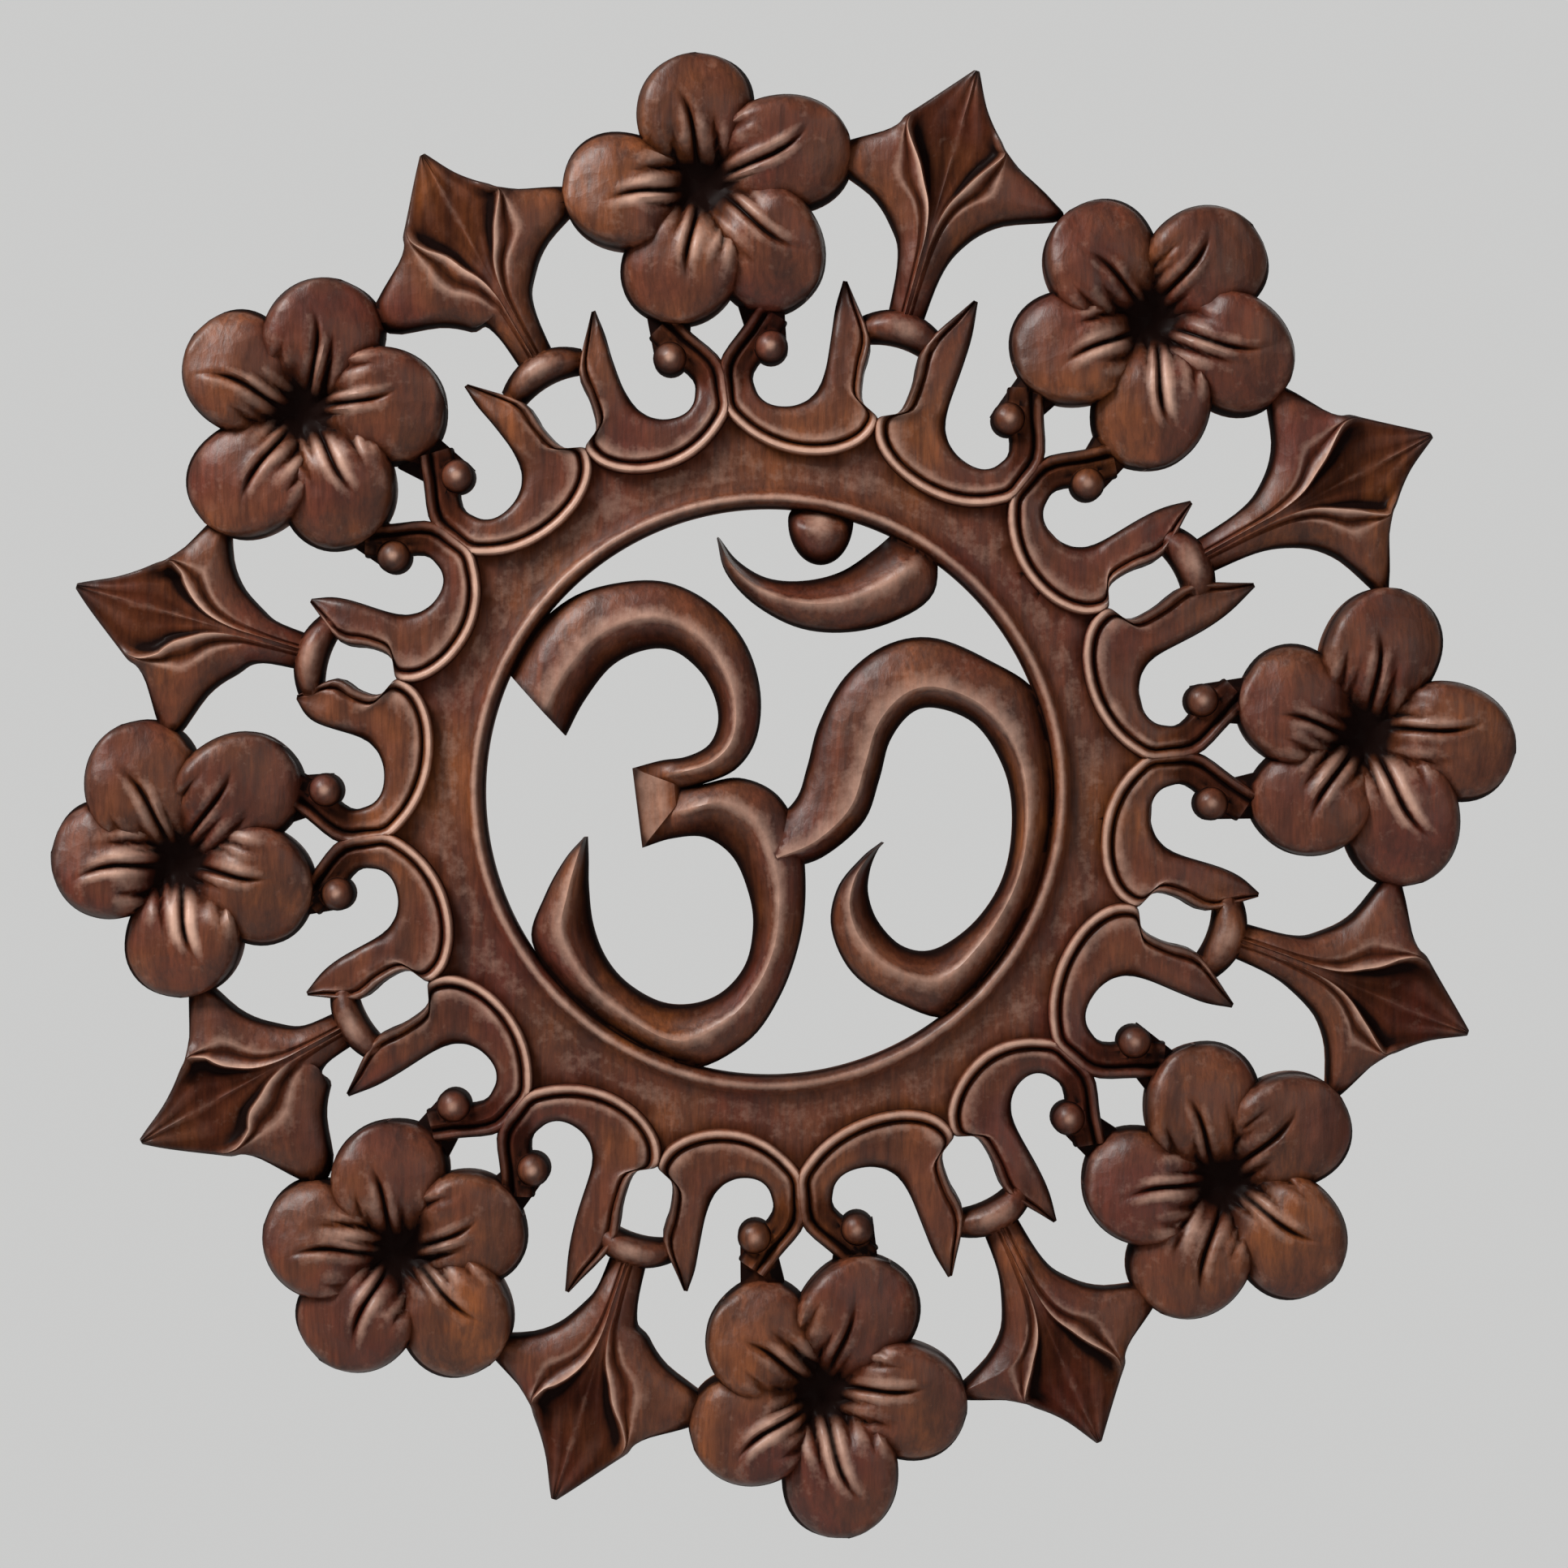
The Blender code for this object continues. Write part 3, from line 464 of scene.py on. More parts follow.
# The scroll's two ends, by rib: its low dark start at the bead, and the plain tapered horn
START_FADE = (1.8, 3.6)
START_DROP = 0.0018
START_DARKENING = 0.65
HORN_FADE = (HORN_START - 0.5, HORN_START + 1.0)
HORN_BEND = 1.5
HORN_TAPER_RIBS = 2.0
HORN_DROP = 0.0025
HORN_DARKENING = 0.12
# Share of the full relief that the narrowest scroll keeps
NARROW_RELIEF = 0.35


def within_axes(x, y):
    """Keeps a scroll's edge on its own side of the flower's axis and of the leaf's."""
    x = max(x, -AXIS_OVERLAP)
    a = math.radians(STEP / 2)
    past = x * math.cos(a) - y * math.sin(a) - AXIS_OVERLAP
    if past > 0:
        x -= past * math.cos(a)
        y += past * math.sin(a)
    return x, y


def scroll(flower, side, rows):
    """C-shaped scroll with a half-round rim, a groove inside it and a flat, soft body."""
    turn = TURN + STEP * flower
    tip_x, tip_y = HORN_TIPS[flower][0 if side < 0 else 1]
    ribs = np.array(SCROLL_RIBS, dtype=float)
    tip_world = place(turn, side * tip_x, tip_y)
    moved = drift(*place(turn, side * ribs[-1][0], ribs[-1][1]))
    pull = (tip_world[0] - moved[0], tip_world[1] - moved[1])
    last = len(ribs) - 1
    lap = SCROLL_LAP if side > 0 else 0
    grid = []
    for row, (ox, oy, ix, iy) in enumerate(smooth(ribs, rows)):
        t = row / (rows - 1) * last
        bend = max(0.0, (t - HORN_START) / (last - HORN_START)) ** HORN_BEND
        ox, oy = within_axes(ox, oy)
        width = math.hypot(ix - ox, iy - oy)
        narrow = min(width / SCROLL_FULL_WIDTH, 1.0)
        across = [(reach * narrow / max(width, 0.01), *rest) for reach, *rest in SCROLL_RIM]
        rim_end = across[-1][0]
        across += [(between(rim_end, 1.0, share), *rest) for share, *rest in SCROLL_BODY]
        horn = fade(t, *HORN_FADE)
        start = 1 - fade(t, *START_FADE)
        sink = HORN_DROP * fade(t, last - HORN_TAPER_RIBS, last) + lap + START_DROP * start
        line = []
        for share, height, wear_and_highlight, dark in across:
            x, z = drift(*place(turn, side * between(ox, ix, share), between(oy, iy, share)))
            shown = between(NARROW_RELIEF, 1.0, narrow)
            flat = between(SCROLL_EDGE_HEIGHT, height, shown)
            wear_and_highlight *= (1 - 0.7 * horn) * (1 - start)
            dark = max(dark * (1 - 0.5 * horn), START_DARKENING * start, HORN_DARKENING * horn)
            line.append((x + bend * pull[0], z + bend * pull[1], flat - sink, wear_and_highlight, dark))
        grid.append(line)
    return slab(f"scroll_{flower}_{'left' if side < 0 else 'right'}", np.array(grid))


def bead(flower, side):
    turn = TURN + STEP * flower
    x, z = drift(*place(turn, side * BEAD_PLACE[0], BEAD_PLACE[1]))
    radius = BEAD_RADIUS / MM
    return dome(f"bead_{flower}_{'left' if side < 0 else 'right'}", (x, z), radius, radius, 0,
                BEAD_HEIGHT, SCROLL_EDGE_HEIGHT - 0.001, rings=8, sides=28, dark=BEAD_PAINTED_SHADE)


WEB_ROUNDING = 0.0014
# Painted shade over the low web behind the bead, under the petals
WEB_PAINTED_SHADE = 0.85


def web(flower, side):
    """Low wood behind a bead, joining the scroll to the petals above it."""
    turn = TURN + STEP * flower
    grid = []
    for up in np.linspace(0, 1, 5):
        row = []
        for out in np.linspace(0, 1, 5):
            x, y = patch_point(*WEB_CORNERS, up, out)
            x, z = drift(*place(turn, side * x, y))
            row.append((x, z, WEB_HEIGHT - WEB_ROUNDING * abs(2 * out - 1) ** 3, 0, WEB_PAINTED_SHADE))
        grid.append(row)
    return slab(f"web_{flower}_{'left' if side < 0 else 'right'}", np.array(grid))


# Leaf: share of the lobe from the V ridge to the outer edge, and drop below the crest
LOBE = profile((
    (0.0, 0.0), (0.04, 0.0002), (0.09, 0.0010), (0.14, 0.0017), (0.19, 0.0016),
    (0.25, 0.0012), (0.32, 0.0013), (0.50, 0.0020), (0.70, 0.0030), (0.85, 0.0040),
    (0.95, 0.0052), (1.0, 0.0070),
))
LOBE_SHARES = (0.03, 0.06, 0.10, 0.14, 0.19, 0.25, 0.32, 0.42,
               0.52, 0.62, 0.72, 0.81, 0.89, 0.95, 1.0)
# Middle leaf, by share of the way out to the V ridge: its points, where it rises and how
# steeply, its veins (place, half width, height), its drop below the ridge on the stem and
# its lift above the hollow's ground further out
MIDDLE_SHARES = (0.0, 0.12, 0.25, 0.4, 0.55, 0.70, 0.82, 0.91, 0.97)
MIDDLE_RISE = 0.72
MIDDLE_STEEPNESS = 1.8
VEINS = ((0.0, 0.09, 0.0006), (0.46, 0.16, 0.0005))
MIDDLE_DROP = 0.0006
MIDDLE_LIFT = 0.0004


def leaf_turn(leaf):
    return TURN + STEP * (leaf + 0.5)


def leaf_half(width, ridge, crest, middle, opening, past, shown):
    """Half a rib of the leaf, outwards: the sunken middle, the V ridge and the side lobe."""
    ridge_at = min(ridge, LEAF_RIDGE_REACH * width)
    half_row = []
    for share in MIDDLE_SHARES:
        rise = max(0.0, (share - MIDDLE_RISE) / (1 - MIDDLE_RISE)) ** MIDDLE_STEEPNESS
        vein = sum(lift * hump(share, at, half) for at, half, lift in VEINS)
        height = between(middle, crest, rise) + vein * opening
        # The V ridges and the lobe lines get wear with painted highlight; the hollow, the lobe's
        # groove and its outer edge get stain with painted shade
        wear_and_highlight = 0.7 * rise ** 2 * (1 - past) * shown + 0.15 * hump(share, 0.0, 0.07) * opening
        hollow = 0.55 * hump(share, 0.80, 0.14) * (1 - 0.6 * past) + 0.12
        half_row.append((share * ridge_at, height, wear_and_highlight, 0.30 + opening * hollow))
    half_row.append((ridge_at, crest, between(0.15, 0.95, shown) * (1 - past), 0))
    deep = min(1.0, (width - ridge_at) / LEAF_FULL_LOBE)
    for share in LOBE_SHARES:
        line = hump(share, 0.0, 0.05) + 0.5 * hump(share, 0.26, 0.05)
        wear_and_highlight = line * (1 - past) * deep * shown
        groove = 0.5 * hump(share, 0.14, 0.05) * deep * shown
        dark = 0.14 + groove + 0.75 * fade(share, 0.80, 1.0)
        half_row.append((between(ridge_at, width, share), crest - LOBE(share) * deep, wear_and_highlight, dark))
    return half_row


def leaf(index, rows):
    """Pointed leaf on a stem: two side lobes, and a sunken middle between V ridges."""
    turn = leaf_turn(index) + LEAF_DRIFT[index][0]
    reach = LEAF_TIPS[index]
    grid = []
    start = LEAF_RIBS[0][0]
    for radius, left, right, ridge in smooth(LEAF_RIBS, rows):
        outward = start + (radius - start) * (reach - start) / (DRAWN_TIP - start)
        lean = LEAF_LEAN[index] * fade(radius, start, DRAWN_TIP)
        shoulder = (fade(radius, LEAF_SHOULDER[0], LEAF_SHOULDER[1])
                    * (1 - fade(radius, LEAF_SHOULDER[2], DRAWN_TIP)))
        underside = fade(radius, *LEAF_UNDERSIDE[:2]) * (1 - fade(radius, *LEAF_UNDERSIDE[2:]))
        opening = fade(radius, *LEAF_HOLLOW)
        past = fade(radius, *LEAF_RIDGE_END)
        crest = between(LEAF_RIDGE_HEIGHT, LEAF_HOLLOW_HEIGHT, past)
        crest -= LEAF_STEM_DROP * (1 - fade(radius, *LEAF_STEM))
        shown = fade(radius, *LEAF_MARKS)
        middle = between(crest - MIDDLE_DROP, LEAF_HOLLOW_HEIGHT + MIDDLE_LIFT, opening)
        row = []
        for hand, width in ((-1, left), (1, right)):
            width = max(width, LEAF_LEAST_WIDTH)
            side = 0 if hand < 0 else 1
            sag = LEAF_SAG[index][side] * shoulder + LEAF_BELLY[index][side] * underside
            side_row = []
            for across, height, wear_and_highlight, dark in leaf_half(width, ridge, crest, middle,
                                                        opening, past, shown):
                push = min(2 * across / width, 1)
                x, z = place(turn + lean, hand * across, outward + sag * push)
                side_row.append((x, z, max(height, LEAF_LEAST_HEIGHT), wear_and_highlight, dark))
            row += side_row[:0:-1] if hand < 0 else side_row
        grid.append(row)
    return slab(f"leaf_{index}", np.array(grid))


def collar(index):
    """Small arched band between two horns, at the foot of a leaf's stem."""
    turn = leaf_turn(index)
    grid = []
    for across in np.linspace(-1, 1, 15):
        row = []
        for share in np.linspace(0, 1, 12):
            radius = between(*COLLAR_RADII, share) - between(*COLLAR_BOW, share) * across ** 2
            edge = abs(2 * share - 1)
            drop = (COLLAR_ROUNDING[0] * edge ** COLLAR_ROUNDING[1]
                    + COLLAR_END_DROP[0] * abs(across) ** COLLAR_END_DROP[1])
            # A painted highlight along the band's middle, and stain with painted shade towards
            # its ends and edges
            wear_and_highlight = 0.5 * hump(across, 0, 0.40) * hump(share, 0.5, 0.25)
            dark = 0.9 * across ** 2 + 0.8 * edge ** 3
            x, z = drift(*place(turn + COLLAR_HALF_ANGLE * across, 0, radius))
            row.append((x, z, COLLAR_HEIGHT - drop, wear_and_highlight, dark))
        grid.append(row)
    return slab(f"collar_{index}", np.array(grid))


# Grooves cut into a petal: place across at the root, bend towards the end (both as shares
# of the half width), start and end along the petal, half width in shares, depth in metres
GROOVES = (
    (0.06, -0.46, 0.14, 0.76, 0.046, 0.0016),
    (-0.52, -0.16, 0.10, 0.60, 0.055, 0.0012),
    (0.46, -0.30, 0.10, 0.66, 0.055, 0.0013),
    (-0.26, 0.0, 0.08, 0.50, 0.045, 0.0009),
    (0.27, -0.1, 0.08, 0.52, 0.045, 0.0009),
    (-0.80, 0.05, 0.10, 0.50, 0.050, 0.0009),
    (0.82, -0.12, 0.10, 0.54, 0.050, 0.0009),
)
GROOVE_WANDER = 0.08
GROOVE_REACH = 1.15
GROOVE_CURVE = 3.2
GROOVE_STARTS_OVER = 0.12
GROOVE_ENDS_OVER = 0.30
# A side groove is left out where its draw is below this
GROOVE_LEFT_OUT = -0.6
# Ridges on a groove's two sides: how far off and how wide, in the groove's half widths, and
# how high, as shares of its depth
RIDGE_AWAY = 3.0
RIDGE_WIDTHS = (2.0, 1.9)
RIDGE_LIFTS = (0.55, 0.42)
PETAL_ACROSS = 32
PETAL_ALONG = (15, 15)
PETAL_RISE = (0.02, 0.46)
PETAL_TIP_FALL = (0.62, 1.0)
PETAL_RIM = 2.4
# Painted shade along a petal's rim, where the petals overlap
PETAL_RIM_PAINTED_SHADE = 0.9
PETAL_ROUND = 2.2
PETAL_TIP_WIDTH = 0.04
COLUMN_CROWDING = 1.35
# Painted shade in a flower's sunk heart: full within the first distance, gone past the second, in
# millimetres
HEART_DARK = (3.5, 15.0)
# Painted highlight: ridges are paler on the petals that point down: middle, swing, and where it
# starts
RIDGE_PAINTED_HIGHLIGHT = (0.85, 0.50, 20.0)


def petal_half_width(along):
    """Share of the petal's greatest half width, a share along of the way to its tip."""
    if along < PETAL_LOBE:
        opening = math.sin(math.pi / 2 * along / PETAL_LOBE) ** 0.75
        return between(PETAL_ROOT_WIDTH, 1.0, opening)
    past = (along - PETAL_LOBE) / (1 - PETAL_LOBE)
    return max(max(1 - past ** PETAL_ROUND, 0.0) ** (1 / PETAL_ROUND), PETAL_TIP_WIDTH)


def groove_centre(number, along, seed):
    """Place across the petal of one of its grooves, which wanders from petal to petal."""
    root, bend, _, end = GROOVES[number][:4]
    wander = GROOVE_WANDER * math.sin(seed * 2.3 + number * 1.7)
    return root + wander + bend * min(along / end, GROOVE_REACH) ** GROOVE_CURVE


def petal_relief(along, across, seed):
    """Grooves and the ridges beside them, different on each petal: lift, wear with painted
    highlight on the ridges, and stain with painted shade in the grooves.
    """
    lift = 0.0
    wear_and_highlight = 0.0
    dark = 0.0
    for number, (_, _, start, end, half, depth) in enumerate(GROOVES):
        if number and math.sin(seed * 3.1 + number * 4.3) < GROOVE_LEFT_OUT:
            continue
        end += 0.05 * math.sin(seed * 1.3 + number * 2.9)
        centre = groove_centre(number, along, seed)
        strength = (fade(along, start, start + GROOVE_STARTS_OVER)
                    * (1 - fade(along, end - GROOVE_ENDS_OVER, end)))
        cut = hump(across, centre, half)
        near = hump(across, centre - RIDGE_AWAY * half, RIDGE_WIDTHS[0] * half)
        far = hump(across, centre + RIDGE_AWAY * half, RIDGE_WIDTHS[1] * half)
        lift += strength * depth * (RIDGE_LIFTS[0] * near + RIDGE_LIFTS[1] * far - cut)
        bright = (1.0 if number == 0 else 0.6) * (0.6 + 0.4 * math.sin(seed * 1.9 + number))
        # Wear with painted highlight on the groove's ridges; stain with painted shade in the
        # groove
        wear_and_highlight += strength * bright * (near + far * 0.7)
        dark += strength * cut * (0.8 if number == 0 else 0.6)
    return lift, min(wear_and_highlight, 0.8), min(dark, 1.0)


def petal(flower, index):
    """Rounded petal, curved like a pinwheel's arm, one side lying over its neighbour."""
    turn = TURN + STEP * flower
    side, out = FLOWER_TABLE[flower][:2]
    direction, reach = FLOWER_TABLE[flower][2 + index]
    heart = place(turn, side, HEART_RADIUS + out)
    half = PETAL_HALF_WIDTH / MM
    seed = flower * 5 + index
    # Painted highlight on the ridges, stronger on the petals that point down
    level, swing, start = RIDGE_PAINTED_HIGHLIGHT
    shown = level - swing * math.cos(math.radians(turn + direction - start))
    root = [PETAL_LOBE * t for t in np.linspace(0, 1, PETAL_ALONG[0], endpoint=False)]
    lobe = [PETAL_LOBE + (1 - PETAL_LOBE) * math.sin(math.pi / 2 * t)
            for t in np.linspace(0, 1, PETAL_ALONG[1])]
    columns = [math.copysign(abs(t) ** COLUMN_CROWDING, t)
               for t in np.linspace(-1, 1, PETAL_ACROSS)]
    grid = []
    for along in root + lobe:
        lag = PETAL_TWIST * (1 - along) ** 3
        angle = math.radians(turn + direction - lag)
        middle = (heart[0] + along * reach * math.sin(angle),
                  heart[1] + along * reach * math.cos(angle))
        lean = angle + math.radians(PETAL_TWIST * (1 - along) ** 2)
        sideways = (math.cos(lean), -math.sin(lean))
        share = petal_half_width(along)
        swell = fade(along, *PETAL_RISE)
        crown = between(HEART_HEIGHT, PETAL_CROWN_HEIGHT, swell)
        crown -= PETAL_TIP_DROP * fade(along, *PETAL_TIP_FALL)
        tip_inset = (1 - along) * reach
        heart_dark = 1 - fade(along * reach, *HEART_DARK)
        dense = min(max(groove_centre(0, along, seed) / max(share, 0.3), -0.7), 0.7)
        row = []
        for column in columns:
            across = dense * (1 - abs(column)) + column
            inset = min(half * share * (1 - abs(across)), tip_inset)
            rim = max(0.0, 1 - inset / PETAL_RIM) ** 2
            lift, wear_and_highlight, dark = petal_relief(along, across * share, seed)
            fall = PETAL_TILT * across + PETAL_EDGE_DROP * abs(across) ** 4
            height = crown - swell * fall + lift * (1 - rim) - PETAL_RIM_DROP * rim * swell
            wear_and_highlight *= shown * (1 - rim) * (1 - heart_dark)
            # Painted shade at the heart and along the rim, and stain with painted shade in the
            # grooves
            dark = max(heart_dark, dark, PETAL_RIM_PAINTED_SHADE * rim)
            out_by = half * share * across
            row.append((middle[0] + sideways[0] * out_by, middle[1] + sideways[1] * out_by,
                        height, wear_and_highlight, dark))
        grid.append(row)
    return slab(f"petal_{flower}_{index}", np.array(grid))


def union(base, others):
    """Joins every carved form to the ring and cuts the back flat, as one mesh."""
    carving = bpy.data.collections.new("carving")
    bpy.context.scene.collection.children.link(carving)
    for other in others:
        bpy.context.collection.objects.unlink(other)
        carving.objects.link(other)
    joined = base.modifiers.new("union", 'BOOLEAN')
    joined.solver = 'MANIFOLD'
    joined.operation = 'UNION'
    joined.operand_type = 'COLLECTION'
    joined.collection = carving
    bm = bmesh.new()
    bmesh.ops.create_cube(bm, size=1.0)
    for vert in bm.verts:
        vert.co.y = 0.0 if vert.co.y < 0 else CUT_DEPTH
    cutter = keep("back_cut", bm)
    flat = base.modifiers.new("flat_back", 'BOOLEAN')
    flat.solver = 'MANIFOLD'
    flat.operation = 'DIFFERENCE'
    flat.object = cutter
    graph = bpy.context.evaluated_depsgraph_get()
    mesh = bpy.data.meshes.new_from_object(base.evaluated_get(graph))
    base.modifiers.clear()
    base.data = mesh
    for other in others + [cutter]:
        bpy.data.objects.remove(other, do_unlink=True)
    bpy.data.collections.remove(carving)
    bm = bmesh.new()
    bm.from_mesh(mesh)
    bmesh.ops.remove_doubles(bm, verts=bm.verts, dist=CLOSE_POINTS)
    bmesh.ops.triangulate(bm, faces=bm.faces[:])
    bm.to_mesh(mesh)
    bm.free()
    return base


panel = ring()
stroke("upper_bow", UPPER_BOW, 70, low_end=1)
stroke("lower_bow", LOWER_BOW, 100, low_end=0)
stroke("right_stroke", RIGHT_STROKE, 120)
stroke("crescent", CRESCENT, 44)
stroke_end()
dome("dot", DOT_CENTRE, DOT_HALF_WIDTH, DOT_LENGTH, DOT_RISE,
     SYMBOL_RIDGE_HEIGHT - 0.0005, SYMBOL_EDGE_HEIGHT - 0.0015, rings=14, sides=56, sinks=True)
for flower_number in range(FLOWERS):
    for hand in (-1, 1):
        scroll(flower_number, hand, 60)
        bead(flower_number, hand)
        web(flower_number, hand)
    leaf(flower_number, 48)
    collar(flower_number)
    for petal_number in range(5):
        petal(flower_number, petal_number)
union(panel, pieces[1:])


# Height map of the carved face, read from the front, for the stain with painted shade and the
# wear with painted highlight that follow it
MAP_STEP = 0.0005
MAP_MARGIN = 0.012
BLURS = (0.0011, 0.0045)
EDGE_BLUR = 0.0015
BACK_REACH = 0.0005
# Painted highlight stronger towards the upper left, where the light comes from: how strong it is
# on the upper left side and on the lower right side, and how fast it turns
UPPER_LEFT_HIGHLIGHT = 1.05
LOWER_RIGHT_HIGHLIGHT = 0.60
BACK_SOOT = 0.12
HIGHLIGHT_SLOPE = 0.37
HEART_POWER = 0.8
RAY_START = -0.05
# Anything higher is wood, and the openings count as this high, so edges aren't all ridges
WOOD_FROM = 0.001
OPENING_HEIGHT = 0.0095
# Heights at which the fine and the broad relief count in full
FINE_FULL = 0.0010
BROAD_FULL = 0.0040


def height_map(mesh):
    """Height above the back on an even grid, 0 where the panel is pierced."""
    verts = [v.co[:] for v in mesh.vertices]
    faces = [p.vertices[:] for p in mesh.polygons]
    tree = BVHTree.FromPolygons(verts, faces)
    x_low, z_low = CAD_LOW[0] - MAP_MARGIN, CAD_LOW[2] - MAP_MARGIN
    columns = int((CAD_HIGH[0] - CAD_LOW[0] + 2 * MAP_MARGIN) / MAP_STEP)
    rows = int((CAD_HIGH[2] - CAD_LOW[2] + 2 * MAP_MARGIN) / MAP_STEP)
    heights = np.zeros((rows, columns))
    towards = Vector((0, 1, 0))
    for row in range(rows):
        z = z_low + row * MAP_STEP
        for column in range(columns):
            start = Vector((x_low + column * MAP_STEP, RAY_START, z))
            hit = tree.ray_cast(start, towards)[0]
            if hit is not None:
                heights[row, column] = -hit.y
    return heights, x_low, z_low


def blurred(values, radius):
    """Gaussian blur of a map, by its spectrum."""
    rows, columns = values.shape
    fr = np.fft.fftfreq(rows, MAP_STEP)[:, None]
    fc = np.fft.rfftfreq(columns, MAP_STEP)[None, :]
    window = np.exp(-2 * (math.pi * radius) ** 2 * (fr ** 2 + fc ** 2))
    return np.fft.irfft2(np.fft.rfft2(values) * window, values.shape)


def read_map(values, x, z, x_low, z_low):
    """Map values at the given places, linear between its points."""
    column = np.clip((x - x_low) / MAP_STEP, 0, values.shape[1] - 1.001)
    row = np.clip((z - z_low) / MAP_STEP, 0, values.shape[0] - 1.001)
    c = column.astype(int)
    r = row.astype(int)
    fc = column - c
    fr = row - r
    low = values[r, c] * (1 - fc) + values[r, c + 1] * fc
    high = values[r + 1, c] * (1 - fc) + values[r + 1, c + 1] * fc
    return low * (1 - fr) + high * fr


def store(mesh, name, values):
    made = mesh.attributes.new(name, 'FLOAT', 'POINT')
    made.data.foreach_set("value", values.astype(np.float32))


def relief_attributes(mesh):
    """Stores how far each point lies above or below the wood round it and how far from an
    edge, and adds the marks that hang on where it lies on the panel: painted shade in the
    flowers' hearts, and a painted highlight stronger towards the upper left."""
    co = np.empty(len(mesh.vertices) * 3)
    mesh.vertices.foreach_get("co", co)
    co = co.reshape(-1, 3)
    heights, x_low, z_low = height_map(mesh)
    wood = (heights > WOOD_FROM).astype(float)
    filled = heights + (1 - wood) * OPENING_HEIGHT
    own = -co[:, 1]
    fine = own - read_map(blurred(filled, BLURS[0]), co[:, 0], co[:, 2], x_low, z_low)
    broad = own - read_map(blurred(filled, BLURS[1]), co[:, 0], co[:, 2], x_low, z_low)
    edge = read_map(blurred(wood, EDGE_BLUR), co[:, 0], co[:, 2], x_low, z_low)
    stain_and_shade = np.empty(len(co), dtype=np.float32)
    mesh.attributes["stain_and_shade"].data.foreach_get("value", stain_and_shade)
    # Painted shade in each flower's sunk heart
    for flower in range(FLOWERS):
        side, out = FLOWER_TABLE[flower][:2]
        x, z = place(TURN + STEP * flower, side, HEART_RADIUS + out)
        away = np.hypot(co[:, 0] / MM - x, (co[:, 2] + ORIGIN_RISE) / MM - z)
        share = np.clip((away - HEART_DARK[0]) / (HEART_DARK[1] - HEART_DARK[0]), 0, 1)
        stain_and_shade = np.maximum(stain_and_shade, 1 - share ** HEART_POWER)
    worn_and_highlit = np.empty(len(co), dtype=np.float32)
    mesh.attributes["worn_and_highlit"].data.foreach_get("value", worn_and_highlit)
    # Painted highlight: the pale marks are stronger towards the upper left, facing the light, and
    # weaker towards the lower right
    towards = (co[:, 0] - co[:, 2] - ORIGIN_RISE) / (2 * RING_OUTER_RADIUS * MM)
    worn_and_highlit *= between(UPPER_LEFT_HIGHLIGHT, LOWER_RIGHT_HIGHLIGHT, np.clip(0.5 + HIGHLIGHT_SLOPE * towards, 0, 1))
    mesh.attributes["worn_and_highlit"].data.foreach_set("value", worn_and_highlit)
    back = own < BACK_REACH
    stain_and_shade[back] = BACK_SOOT
    mesh.attributes["stain_and_shade"].data.foreach_set("value", stain_and_shade.astype(np.float32))
    store(mesh, "fine_relief", np.where(back, 0, np.clip(fine / FINE_FULL, -1, 1)))
    store(mesh, "broad_relief", np.where(back, 0, np.clip(broad / BROAD_FULL, -1, 1)))
    store(mesh, "from_edge", np.where(back, 1, np.clip((edge - 0.5) * 2, 0, 1)))


relief_attributes(panel.data)
panel.data.shade_smooth()
panel.data.set_sharp_from_angle(angle=math.radians(SHARP_ANGLE))


def node(tree, kind, **sets):
    made = tree.nodes.new(kind)
    for name, value in sets.items():
        setattr(made, name, value)
    return made


def ramp(tree, source, stops):
    """Colour ramp fed by a value; stops are (place, colour)."""
    made = node(tree, "ShaderNodeValToRGB")
    elements = made.color_ramp.elements
    while len(elements) < len(stops):
        elements.new(1.0)
    for element, (at, colour) in zip(elements, stops):
        element.position = at
        element.color = (*colour, 1)
    tree.links.new(source, made.inputs["Fac"])
    return made.outputs["Color"]


def maths(tree, operation, *values, clamp=False):
    made = node(tree, "ShaderNodeMath", operation=operation, use_clamp=clamp)
    for socket, value in zip(made.inputs, values):
        if isinstance(value, (int, float)):
            socket.default_value = value
        else:
            tree.links.new(value, socket)
    return made.outputs[0]


def scaled(tree, value, share, middle=0.0):
    """A value times a share, counted from its middle."""
    if middle:
        value = maths(tree, 'SUBTRACT', value, middle)
    return maths(tree, 'MULTIPLY', value, share)


def total(tree, first, *others):
    for other in others:
        first = maths(tree, 'ADD', first, other)
    return first


def grey_ramp(tree, source, stops):
    """Ramp of greys; stops are (place, value)."""
    return ramp(tree, source, [(at, (value,) * 3) for at, value in stops])


def mix(tree, factor, a, b):
    made = node(tree, "ShaderNodeMix", data_type='RGBA')
    for socket, value in ((made.inputs[0], factor), (made.inputs[6], a), (made.inputs[7], b)):
        if isinstance(value, (int, float)):
            socket.default_value = value
        elif isinstance(value, tuple):
            socket.default_value = (*value, 1)
        else:
            tree.links.new(value, socket)
    return made.outputs[2]


def noise_at(tree, coordinates, scale, detail, roughness, distortion=0.0):
    made = node(tree, "ShaderNodeTexNoise")
    made.inputs["Scale"].default_value = scale
    made.inputs["Detail"].default_value = detail
    made.inputs["Roughness"].default_value = roughness
    made.inputs["Distortion"].default_value = distortion
    tree.links.new(coordinates, made.inputs["Vector"])
    return made.outputs["Fac"]


def attribute(tree, name):
    return node(tree, "ShaderNodeAttribute", attribute_name=name).outputs["Fac"]


